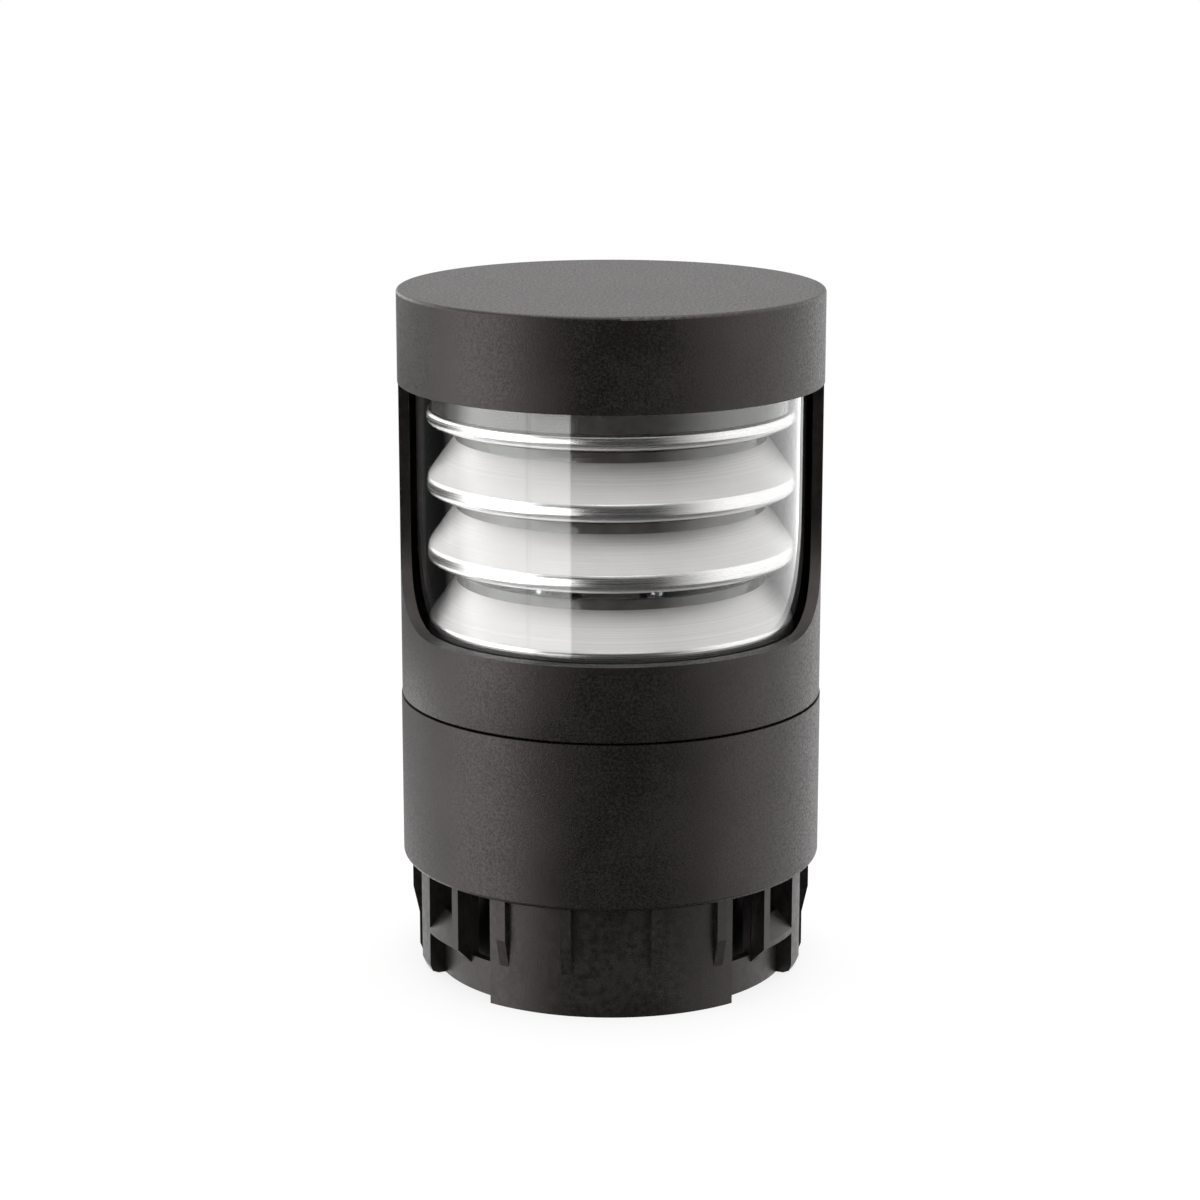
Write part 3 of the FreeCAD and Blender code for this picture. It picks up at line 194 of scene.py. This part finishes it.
def plainFinish(name, sizes):
    # a finish of two near colours, a grain and a dent or pebble pattern
    material, tree, shader, place = newMaterial(name)
    fine = grain(tree, place, sizes["grain"], 3)
    broad = grain(tree, place, sizes["cloud"], 2)
    colour = blendColour(tree, spread(tree, broad, 0, 1), sizes["dark"], sizes["light"])
    textured(shader, tree, colour, spread(tree, fine, *sizes["roughness"]),
             relief(tree, fine, sizes["height"]))
    setInputs(shader, {"Metallic": sizes.get("metallic", 0),
                       "Specular IOR Level": sizes.get("specular", 0.5)})
    return material


# Polycarbonate of the inner lens, moulded and glossy, drawn as painted shade: an opaque dark grey
# that stands in for the unlit chamber seen through the clear lens.
lensPaintedShade = plainFinish("inner lens with painted shade", {
    "dark": "#4b4745", "light": "#5a5653", "grain": 1.2, "cloud": 9, "height": 0.003,
    "roughness": (0.1, 0.16), "specular": 0.55})

finishes = {
    # Zinc plated and clear passivated steel: grey with a bluish bloom, a little uneven.
    "steel": plainFinish("zinc plated steel", {
        "dark": "#a3a6aa", "light": "#c4c6c6", "grain": 0.5, "cloud": 3, "height": 0.006,
        "roughness": (0.24, 0.4), "metallic": 1}),
    # Turned brass, tin free: warm yellow, dulled by handling.
    "pin_brass": plainFinish("turned brass", {
        "dark": "#b08a48", "light": "#cfae6c", "grain": 0.4, "cloud": 2, "height": 0.004,
        "roughness": (0.2, 0.32), "metallic": 1}),
    # Moulded silicone rubber: soft dark grey, dull, with a faint dusting of talc.
    "seal_rubber": plainFinish("moulded silicone rubber", {
        "dark": "#1c1d1d", "light": "#2b2c2c", "grain": 0.8, "cloud": 6, "height": 0.02,
        "roughness": (0.6, 0.8), "specular": 0.35}),
    # White solder resist screened on an aluminium board: flat and slightly glossy.
    "board_white": plainFinish("white solder resist", {
        "dark": "#e2e4e1", "light": "#f0f1ee", "grain": 0.6, "cloud": 4, "height": 0.004,
        "roughness": (0.3, 0.42)}),
    # Phosphor filled silicone cast over the chips: a soft egg yellow.
    "chip_phosphor": plainFinish("phosphor filled silicone", {
        "dark": "#d9b445", "light": "#ecd06a", "grain": 0.3, "cloud": 1.5, "height": 0.006,
        "roughness": (0.35, 0.5)}),
    # Injection moulded polycarbonate case, spark eroded mould: pale grey with a fine matt grain.
    "driver_case": plainFinish("moulded grey polycarbonate", {
        "dark": "#c4c6c4", "light": "#d2d3d0", "grain": 0.5, "cloud": 12, "height": 0.02,
        "roughness": (0.42, 0.56)}),
    # Glass filled polyamide, moulded: off-white, with streaks where the melt flowed.
    "terminal_plastic": plainFinish("moulded polyamide", {
        "dark": "#b9bab4", "light": "#cccdc7", "grain": 0.6, "cloud": 5, "height": 0.015,
        "roughness": (0.38, 0.52)}),
    # Black polyamide of the cable gland, moulded with a satin skin.
    "gland_plastic": plainFinish("moulded black polyamide", {
        "dark": "#141414", "light": "#1f1f20", "grain": 0.6, "cloud": 5, "height": 0.012,
        "roughness": (0.32, 0.48)}),
    "powder_coat": charcoalPowder,
    "spigot_coat": spigotPowder,
    "clear_glass": clearTube,
    "louvre_aluminium": spunAluminium,
    "bare_aluminium": turnedAluminium,
}

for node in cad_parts.values():
    for slot in node.material_slots:
        slot.material = finishes[slot.material.name.split(".")[0]]
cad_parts["glass_tube"].visible_shadow = False
print("finishes on every node")

# Faces that meet at less than this angle are shaded as one curved surface.
smoothUnder = math.radians(35)
# A cutting tool or a band of finish reaches this far past the metal, in millimetres.
past = 1


def selectOnly(*pieces):
    # selects these pieces alone, with the first as the active one
    bpy.ops.object.select_all(action="DESELECT")
    for piece in pieces:
        piece.select_set(True)
    bpy.context.view_layer.objects.active = pieces[0]


def openMesh(name):
    # a new piece at the origin, in edit mode, that is one selected vertex so far
    bpy.ops.object.select_all(action="DESELECT")
    bpy.ops.mesh.primitive_plane_add(size=0.001)
    piece = bpy.context.object
    piece.name = name
    bpy.ops.object.mode_set(mode="EDIT")
    bpy.ops.mesh.select_all(action="SELECT")
    bpy.ops.mesh.merge(type="CENTER")
    return piece


def closeMesh(piece, finish):
    bpy.ops.mesh.select_all(action="SELECT")
    bpy.ops.mesh.remove_doubles(threshold=1e-6)
    bpy.ops.mesh.normals_make_consistent(inside=False)
    bpy.ops.object.mode_set(mode="OBJECT")
    bpy.ops.object.shade_smooth_by_angle(angle=smoothUnder)
    piece.data.materials.append(finish)
    return piece


def turned(name, section, finish, steps=144):
    # a section of radius and height, in millimetres, spun round the Z axis
    piece = openMesh(name)
    was = (0, 0)
    for index, (radius, height) in enumerate(section):
        move = ((radius - was[0]) / 1000, 0, (height - was[1]) / 1000)
        if index == 0:
            bpy.ops.transform.translate(value=move)
        else:
            bpy.ops.mesh.extrude_region_move(TRANSFORM_OT_translate={"value": move})
        was = (radius, height)
    bpy.ops.mesh.select_all(action="SELECT")
    bpy.ops.mesh.spin(steps=steps, angle=math.tau, center=(0, 0, 0), axis=(0, 0, 1))
    return closeMesh(piece, finish)


def arc(middle, radius, start, end, count):
    # points on a circle in a section, in millimetres and degrees
    angles = [math.radians(start + (end - start) * i / (count - 1)) for i in range(count)]
    return [(middle[0] + radius * math.cos(a), middle[1] + radius * math.sin(a)) for a in angles]


def shift(piece, move=(0, 0, 0), turn=0, axis="Z"):
    # moves the mesh inside its object, so that the object itself stays at the origin
    selectOnly(piece)
    bpy.ops.object.mode_set(mode="EDIT")
    bpy.ops.mesh.select_all(action="SELECT")
    if turn:
        bpy.ops.transform.rotate(value=math.radians(turn), orient_axis=axis,
                                 center_override=(0, 0, 0))
    bpy.ops.transform.translate(value=[length / 1000 for length in move])
    bpy.ops.object.mode_set(mode="OBJECT")


def copyOf(piece, name, move=(0, 0, 0), turn=0):
    # a copy with its own mesh, turned round the Z axis and moved by millimetres
    selectOnly(piece)
    bpy.ops.object.duplicate()
    twin = bpy.context.object
    twin.name = name
    shift(twin, move, turn)
    return twin


def block(name, low, high):
    # a block between two corners in millimetres, with its object at the origin
    bpy.ops.object.select_all(action="DESELECT")
    bpy.ops.mesh.primitive_cube_add(size=1)
    piece = bpy.context.object
    piece.name = name
    bpy.ops.object.mode_set(mode="EDIT")
    bpy.ops.mesh.select_all(action="SELECT")
    bpy.ops.transform.resize(value=[(b - a) / 1000 for a, b in zip(low, high)])
    bpy.ops.transform.translate(value=[(a + b) / 2000 for a, b in zip(low, high)])
    bpy.ops.object.mode_set(mode="OBJECT")
    return piece


def bevelEdges(piece, choose, width, segments):
    # rounds the edges whose middle, in millimetres, passes a test
    selectOnly(piece)
    bpy.ops.object.mode_set(mode="EDIT")
    bpy.ops.mesh.select_mode(type="EDGE")
    bpy.ops.mesh.select_all(action="DESELECT")
    bpy.ops.object.mode_set(mode="OBJECT")
    points = piece.data.vertices
    for edge in piece.data.edges:
        ends = [points[i].co * 1000 for i in edge.vertices]
        edge.select = choose((ends[0] + ends[1]) / 2)
    bpy.ops.object.mode_set(mode="EDIT")
    bpy.ops.mesh.bevel(offset=width / 1000, segments=segments, affect="EDGES")
    bpy.ops.mesh.select_mode(type="VERT")
    bpy.ops.object.mode_set(mode="OBJECT")


def carve(piece, tool):
    # cuts one closed mesh out of another and drops the tool
    selectOnly(piece)
    cutter = piece.modifiers.new("carve", "BOOLEAN")
    cutter.operation, cutter.object = "DIFFERENCE", tool
    bpy.ops.object.modifier_apply(modifier=cutter.name)
    bpy.data.objects.remove(tool, do_unlink=True)
    bpy.ops.object.shade_smooth_by_angle(angle=smoothUnder)


def hexagonSocket(screw, radius, low, high):
    # a hexagon socket on the screw's axis, between two heights
    carve(screw, turned("hexagonKey", [(0, low), (radius, low), (radius, high), (0, high)],
                        finishes["steel"], 6))


def joined(pieces, name):
    # several meshes as one piece
    selectOnly(*pieces)
    bpy.ops.object.join()
    pieces[0].name = name
    return pieces[0]


def placed(piece, body, node):
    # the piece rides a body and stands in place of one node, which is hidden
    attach(piece, body)
    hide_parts(node)


def middle(node):
    # the middle of a node's box and its half size, in millimetres
    low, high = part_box(node)
    return ([(a + b) * 500 for a, b in zip(low, high)], [(b - a) * 500 for a, b in zip(low, high)])


# Window cage: one casting, its front half open from the sill up behind the cap. Its cut edges
# face forwards and sweep round to the sill in one wide curve.
cage = {"out": 74.7, "in": 69.6, "thinIn": 70.9, "foot": 90, "seam": 99.6, "skirtOut": 69.7,
        "skirtIn": 66.0, "skirtChamfer": 0.6, "shelf": 115, "shelfUnder": 111, "shelfIn": 60.0,
        "sill": 126, "stepTop": 1.2, "stepFoot": 0.1, "capRim": 211.5, "hoopOut": 71.4,
        "hoopTop": 236, "hoopChamfer": 0.4, "rim": 0.5}
# The opening ends this far before the axis and a little above the cap's rim.
window = {"reach": 80, "edge": -4, "rise": 2.5, "sweep": 40, "steps": 20}
cageShell = turned("windowCage", [
    (cage["skirtIn"], cage["foot"]), (cage["skirtOut"] - cage["skirtChamfer"], cage["foot"]),
    (cage["skirtOut"], cage["foot"] + cage["skirtChamfer"]), (cage["skirtOut"], cage["seam"])]
    + arc((cage["out"] - cage["rim"], cage["seam"] + cage["rim"]), cage["rim"], -90, 0, 4) + [
    (cage["out"], cage["capRim"]), (cage["hoopOut"], cage["capRim"]),
    (cage["hoopOut"], cage["hoopTop"] - cage["hoopChamfer"]),
    (cage["hoopOut"] - cage["hoopChamfer"], cage["hoopTop"]),
    (cage["in"], cage["hoopTop"]), (cage["in"], cage["capRim"]), (cage["thinIn"], cage["capRim"]),
    (cage["thinIn"], cage["sill"] + cage["stepTop"]), (cage["in"], cage["sill"] - cage["stepFoot"]),
    (cage["in"], cage["shelf"]), (cage["shelfIn"], cage["shelf"]),
    (cage["shelfIn"], cage["shelfUnder"]), (cage["skirtIn"], cage["shelfUnder"]),
    (cage["skirtIn"], cage["foot"])], charcoalPowder, 180)
opening = block("opening", (-window["reach"], -window["reach"], cage["sill"]),
                (window["reach"], window["edge"], cage["capRim"] + window["rise"]))
bevelEdges(opening, lambda m: abs(m.y - window["edge"]) < 1 and abs(m.z - cage["sill"]) < 1,
           window["sweep"], window["steps"])
carve(cageShell, opening)
placed(cageShell, "head", "window_cage")
print("window cage")

# Louvres: the spun rings have a rolled lip, round in front and curled in behind, and a cone drawn
# in over it, with a flat flange behind. On the flange stands an upright rim of the inner lens,
# whose band is painted shade: a flat dark grey for the unlit chamber behind it.
louvre = {"lip": 64.9, "roll": 3.0, "lipHeight": 6, "curl": 1.6, "curlBack": 0.9, "coneIn": 9.9,
          "coneHeight": 13, "wall": 1.6, "heel": 0.6, "heelIn": 2.0, "flangeIn": 45.5,
          "rimFoot": 0.2, "rimHeight": 3.6, "rimRound": 0.5, "blastedFrom": 0.4, "shadeBandFrom": 0.3,
          "lowest": 130.5, "lower": 2, "pitch": 73.05 / 3}
coneSlope = math.degrees(math.atan2(louvre["coneIn"], louvre["coneHeight"]))
# The top ring has a tall upright collar in place of the cone, under the same band of painted shade.
collar = {"out": 63.5, "height": 17.5, "heel": 2.4, "shoulder": 1.4, "shoulderDrop": 1.8,
          "crownRound": 0.6}


def finishBand(ring, finish, low, high):
    # another finish on the outside of a ring between two heights
    ring.data.materials.append(finish)
    for face in ring.data.polygons:
        outward = face.normal.x * face.center.x + face.normal.y * face.center.y > 0
        if outward and low / 1000 < face.center.z < high / 1000:
            face.material_index = len(ring.data.materials) - 1


def lipSection(top):
    # from the curl inside, under the lip and up its front
    foot, edge, roll = top - louvre["lipHeight"], louvre["lip"], louvre["roll"]
    curl = louvre["curl"]
    return (arc((edge - roll - louvre["curlBack"], foot + curl), curl, 100, 270, 7)
            + arc((edge - roll, foot + roll), roll, -90, 0, 13))


def coneRing(name, top):
    edge, roll, wall = louvre["lip"], louvre["roll"], louvre["wall"]
    flange, coneEnd = top + louvre["coneHeight"], edge - louvre["coneIn"]
    rim, inside, rounding = flange + louvre["rimHeight"], coneEnd - wall, louvre["rimRound"]
    tangent = roll * math.tan(math.radians(coneSlope / 2))
    heel = (edge - roll, top - tangent - louvre["heel"])
    section = [heel] + lipSection(top)
    section += arc((edge - roll, top - tangent), roll, 0, coneSlope, 7)
    section += [(coneEnd, flange - louvre["rimFoot"]), (coneEnd, rim - rounding)]
    section += arc((coneEnd - rounding, rim - rounding), rounding, 20, 90, 4)
    section += [(inside, rim), (inside, flange), (louvre["flangeIn"], flange),
                (louvre["flangeIn"], flange - wall), (coneEnd - louvre["heelIn"], flange - wall),
                heel]
    ring = turned(name, section, polishedAluminium)
    shadeBandFoot = flange - louvre["shadeBandFrom"]
    finishBand(ring, spunAluminium, top + louvre["blastedFrom"], shadeBandFoot)
    # painted shade: the lens band and rim are a flat dark grey standing in for the unlit chamber
    finishBand(ring, lensPaintedShade, shadeBandFoot, rim + past)
    return ring


def collarRing(name, top):
    edge, wall, out = louvre["lip"], louvre["wall"], collar["out"]
    inside, flange, crown = out - wall, top + louvre["coneHeight"], top + collar["height"]
    shoulder, rounding, heel = collar["shoulder"], collar["crownRound"], top - collar["heel"]
    section = [(inside, heel)] + lipSection(top)
    section += arc((edge - shoulder, top - collar["shoulderDrop"]), shoulder, 0, 70, 6)
    section += [(out, top - louvre["rimFoot"])]
    section += arc((out - rounding, crown - rounding), rounding, 0, 90, 5)
    section += [(inside, crown), (inside, flange), (louvre["flangeIn"], flange),
                (louvre["flangeIn"], flange - wall), (inside, flange - wall), (inside, heel)]
    ring = turned(name, section, polishedAluminium)
    # painted shade: the collar's outside is the same dark grey, for the unlit chamber behind
    finishBand(ring, lensPaintedShade, top + louvre["blastedFrom"], crown + past)
    return ring


# The lowest ring sits a little lower than the even pitch, as the photograph shows.
levels = [louvre["lowest"] + louvre["pitch"] * index for index in range(4)]
levels[0] -= louvre["lower"]
lowRing = coneRing("lowLouvre", levels[0])
middleRing = copyOf(lowRing, "middleLouvre", (0, 0, levels[1] - levels[0]))
highRing = copyOf(lowRing, "highLouvre", (0, 0, levels[2] - levels[0]))
topRing = collarRing("topLouvre", levels[3])
for ring, node in ((lowRing, "louvre_lower"), (middleRing, "louvre_middle"),
                   (highRing, "louvre_upper"), (topRing, "louvre_collar")):
    placed(ring, "head", node)
print("louvre rings")

# Grub screws at the back: plated steel with a hexagon socket and a chamfered rim.
grub = {"radius": 2.5, "length": 4.4, "socket": 1.45, "depth": 2.4, "chamfer": 0.4, "at": 64.4,
        "height": 94.4, "angle": 25}
grubEnd = grub["radius"] - grub["chamfer"]
screw = turned("grubOne", [
    (0, 0), (grubEnd, 0), (grub["radius"], grub["chamfer"]),
    (grub["radius"], grub["length"] - grub["chamfer"]), (grubEnd, grub["length"]),
    (0, grub["length"])], finishes["steel"], 40)
hexagonSocket(screw, grub["socket"], grub["length"] - grub["depth"], grub["length"] + past)
shift(screw, (0, grub["at"], grub["height"]), 90, "X")
twin = copyOf(screw, "grubTwo", turn=grub["angle"])
shift(screw, turn=-grub["angle"])
placed(joined([screw, twin], "backGrubScrews"), "base", "head_grub_screws")

# Spigot screws: socket heads under the flange, with a chamfered shank end.
cap = {"head": 4.3, "headChamfer": 0.5, "shank": 2.5, "tipChamfer": 0.6, "foot": 37, "seat": 40,
       "tip": 56, "socket": 2.3, "depth": 2, "circle": 60.3, "angle": 24}
screw = turned("capScrewOne", [
    (0, cap["foot"]), (cap["head"] - cap["headChamfer"], cap["foot"]),
    (cap["head"], cap["foot"] + cap["headChamfer"]), (cap["head"], cap["seat"]),
    (cap["shank"], cap["seat"]), (cap["shank"], cap["tip"] - cap["tipChamfer"]),
    (cap["shank"] - cap["tipChamfer"], cap["tip"]), (0, cap["tip"])], finishes["steel"], 40)
hexagonSocket(screw, cap["socket"], cap["foot"] - past, cap["foot"] + cap["depth"])
shift(screw, (0, -cap["circle"], 0))
others = [copyOf(screw, "capScrew%d" % angle, turn=angle)
          for angle in (-cap["angle"], 180 - cap["angle"], 180 + cap["angle"])]
shift(screw, turn=cap["angle"])
placed(joined([screw] + others, "spigotScrews"), "base", "spigot_screws")

# Terminal screws: plated pan heads with a slot, in one row.
wire = {"rounding": 0.5, "slotHalf": 0.4, "slotDepth": 0.9, "count": 5}
centre, half = middle("terminal_screws")
radius, foot, top = half[1], centre[2] - half[2], centre[2] + half[2]
screw = turned("wireScrewOne", [(0, foot), (radius, foot), (radius, top - wire["rounding"])]
               + arc((radius - wire["rounding"], top - wire["rounding"]), wire["rounding"],
                     0, 90, 4) + [(0, top)], finishes["steel"], 32)
carve(screw, block("slot", (-radius - past, -wire["slotHalf"], top - wire["slotDepth"]),
                   (radius + past, wire["slotHalf"], top + past)))
step = 2 * (half[0] - radius) / (wire["count"] - 1)
shift(screw, (centre[0] - step * (wire["count"] - 1) / 2, centre[1], 0))
others = [copyOf(screw, "wireScrew%d" % count, (count * step, 0, 0))
          for count in range(1, wire["count"])]
placed(joined([screw] + others, "wireScrews"), "base", "terminal_screws")

# Gland nut: a dome that closes on the cord, and ribs round it for the hand.
gland = {"bore": 6.6, "dome": 9, "domeRound": 1, "grip": 12.0, "gripChamfer": 0.8, "foot": 20,
         "gripFoot": 25.6, "top": 34, "thread": 8.8, "lip": 2}
gripRib = {"count": 24, "half": 0.6, "out": 0.7, "in": 1.2, "foot": 1, "top": 0.6,
           "rounding": 0.35}
dome = turned("glandDome", [
    (gland["bore"], gland["foot"]), (gland["dome"] - gland["domeRound"], gland["foot"]),
    (gland["dome"], gland["foot"] + gland["domeRound"]),
    (gland["grip"] - gland["gripChamfer"], gland["gripFoot"]),
    (gland["grip"], gland["gripFoot"] + gland["gripChamfer"]),
    (gland["grip"], gland["top"] - gland["gripChamfer"]),
    (gland["grip"] - gland["gripChamfer"], gland["top"]), (gland["thread"], gland["top"]),
    (gland["thread"], gland["foot"] + gland["lip"]),
    (gland["bore"], gland["foot"] + gland["lip"]), (gland["bore"], gland["foot"])],
    finishes["gland_plastic"], 96)
rib = block("gripRib", (-gripRib["half"], -gland["grip"] - gripRib["out"],
                        gland["gripFoot"] + gripRib["foot"]),
            (gripRib["half"], -gland["grip"] + gripRib["in"], gland["top"] - gripRib["top"]))
rib.data.materials.append(finishes["gland_plastic"])
bevelEdges(rib, lambda m: m.y < -gland["grip"], gripRib["rounding"], 3)
ribs = [rib] + [copyOf(rib, "gripRib%d" % count, turn=360 / gripRib["count"] * count)
                for count in range(1, gripRib["count"])]
nut = joined([dome] + ribs, "domedNut")
shift(nut, (0, middle("gland_nut")[0][1], 0))
placed(nut, "base", "gland_nut")
print("screws and gland")


def firstSight(tree):
    # 1 for what the camera sees directly or through the glass, 0 once a path has met a surface
    path = addNode(tree, "LightPath").outputs
    direct = combined(tree, "MAXIMUM", path["Is Camera Ray"], path["Is Transmission Ray"])
    bounces = combined(tree, "ADD", path["Glossy Depth"], path["Diffuse Depth"])
    return combined(tree, "MULTIPLY", direct, combined(tree, "LESS_THAN", bounces, 0.5))


# The floor is one pale sheet. The camera sees it near white with the object's own shadow on it,
# and a mirror image in metal or glass looks past it, as if the light stood on a stand.
sheet = {"side": 14, "colour": "#f4f4f3", "roughness": 0.9, "nearShare": 0.78, "nearEdge": 0.15,
         "farEdge": 0.8}
bpy.ops.mesh.primitive_plane_add(size=sheet["side"], location=(0, 0, 0))
floor = bpy.context.object
floor.name = "paleFloor"
paleSheet, tree, shader, place = newMaterial("pale matt studio sheet")
setInputs(shader, {"Base Color": linear(sheet["colour"]), "Roughness": sheet["roughness"]})
distance = addNode(tree, "VectorMath", {0: place}, operation="LENGTH").outputs["Value"]
whitening = mapped(tree, distance, sheet["nearEdge"], sheet["farEdge"], sheet["nearShare"], 1)
share = combined(tree, "MULTIPLY", firstSight(tree), whitening)
glow = addNode(tree, "Emission", {"Color": linear("#ffffff"), "Strength": 1.0}).outputs[0]
lit = addNode(tree, "MixShader", {0: share, 1: shader.outputs[0], 2: glow}).outputs[0]
mirrored = combined(tree, "GREATER_THAN",
                    addNode(tree, "LightPath").outputs["Glossy Depth"], 0.5)
clear = addNode(tree, "BsdfTransparent").outputs[0]
seenOrOpen = addNode(tree, "MixShader", {0: mirrored, 1: lit, 2: clear}).outputs[0]
tree.links.new(seenOrOpen, tree.nodes["Material Output"].inputs["Surface"])
paleSheet.cycles.emission_sampling = "NONE"
floor.data.materials.append(paleSheet)

# The world is the studio: a white sheet behind, a pale ceiling, the unlit room low in front, and
# a long white wall on each side. Azimuths count from the camera's side towards +X, in degrees,
# and heights are the sine of the elevation. The left wall is the brighter; the right one comes up
# slowly. Behind it on the left two more sheets stand above and below what the glass mirrors.
studio = {
    "room": 0.03, "behind": 0.95, "behindFrom": (0, 0.45), "above": 0.9, "aboveFrom": (0.2, 0.8)}
walls = [
    {"level": 3.2, "azimuth": (-112, -84, -52, -47), "height": (-0.6, -0.45, 0.4, 0.55)},
    {"level": 3.0, "azimuth": (-172, -150, -112, -98), "height": (-0.1, -0.03, 0.4, 0.6)},
    {"level": 2.6, "azimuth": (-172, -150, -112, -98), "height": (-0.7, -0.6, -0.36, -0.29)},
    {"level": 1.55, "azimuth": (22, 80, 150, 172), "height": (-0.6, -0.45, 0.75, 0.95)}]
# Low down on the left a dark flag stands before the white sheet; the glass mirrors it.
flag = {"level": 1, "azimuth": (-175, -160, -116, -104), "height": (-0.3, -0.26, -0.14, -0.1)}
world = bpy.data.worlds.new("studio")
bpy.context.scene.world = world
world.use_nodes = True
tree = world.node_tree
backdrop = tree.nodes["Background"]
way = addNode(tree, "TexCoord").outputs["Generated"]
axes = addNode(tree, "SeparateXYZ", {"Vector": way}).outputs
turnTo = combined(tree, "ARCTAN2", axes["X"], combined(tree, "MULTIPLY", axes["Y"], -1))
azimuth = combined(tree, "MULTIPLY", turnTo, 180 / math.pi)


def patch(sizes):
    # a soft-edged patch of the studio, from four azimuths and four heights
    share = sizes["level"]
    for value, edges in ((azimuth, sizes["azimuth"]), (axes["Z"], sizes["height"])):
        start, full, fade, end = edges
        share = combined(tree, "MULTIPLY", share,
                         mapped(tree, value, start, full, 0, 1, "SMOOTHSTEP"))
        share = combined(tree, "MULTIPLY", share,
                         mapped(tree, value, fade, end, 1, 0, "SMOOTHSTEP"))
    return share


behind = combined(tree, "MULTIPLY",
                  mapped(tree, axes["Y"], *studio["behindFrom"], 0, studio["behind"], "SMOOTHSTEP"),
                  combined(tree, "SUBTRACT", 1, patch(flag)))
above = mapped(tree, axes["Z"], *studio["aboveFrom"], studio["room"], studio["above"],
               "SMOOTHSTEP")
level = combined(tree, "MAXIMUM", behind, above)
for wall in walls:
    level = combined(tree, "MAXIMUM", level, patch(wall))
tree.links.new(combined(tree, "MAXIMUM", level, firstSight(tree)), backdrop.inputs["Strength"])
backdrop.inputs["Color"].default_value = linear("#ffffff")

# A low card between the left wall and the camera, whose edge shows in the glass, a soft box high
# in front for the cones, and one overhead. All of them point at the middle of the head.
aimHeight = 0.13
softBoxes = [
    {"name": "lowCard", "azimuth": -35.5, "distance": 1.5, "height": -0.19, "wide": 0.66,
     "tall": 0.42, "radiance": 3.0},
    {"name": "frontBox", "azimuth": 10, "distance": 0.75, "height": 1.35, "wide": 0.9,
     "tall": 0.7, "radiance": 2.0},
    {"name": "topBox", "azimuth": 180, "distance": 0.3, "height": 1.6, "wide": 1.4, "tall": 1.2,
     "radiance": 2.5},
]
for box in softBoxes:
    turn = math.radians(box["azimuth"])
    spot = (box["distance"] * math.sin(turn), -box["distance"] * math.cos(turn), box["height"])
    bpy.ops.object.light_add(type="AREA", location=spot)
    lamp = bpy.context.object
    lamp.name = box["name"]
    lamp.data.shape = "RECTANGLE"
    lamp.data.size, lamp.data.size_y = box["wide"], box["tall"]
    lamp.data.energy = box["radiance"] * math.pi * box["wide"] * box["tall"]
    aim = (0 - spot[0], 0 - spot[1], aimHeight - spot[2])
    flat = math.hypot(aim[0], aim[1])
    lamp.rotation_euler = (math.atan2(flat, -aim[2]), 0, math.atan2(aim[1], aim[0]) - math.pi / 2)
    lamp.visible_camera = False
print("floor, studio and lamps")
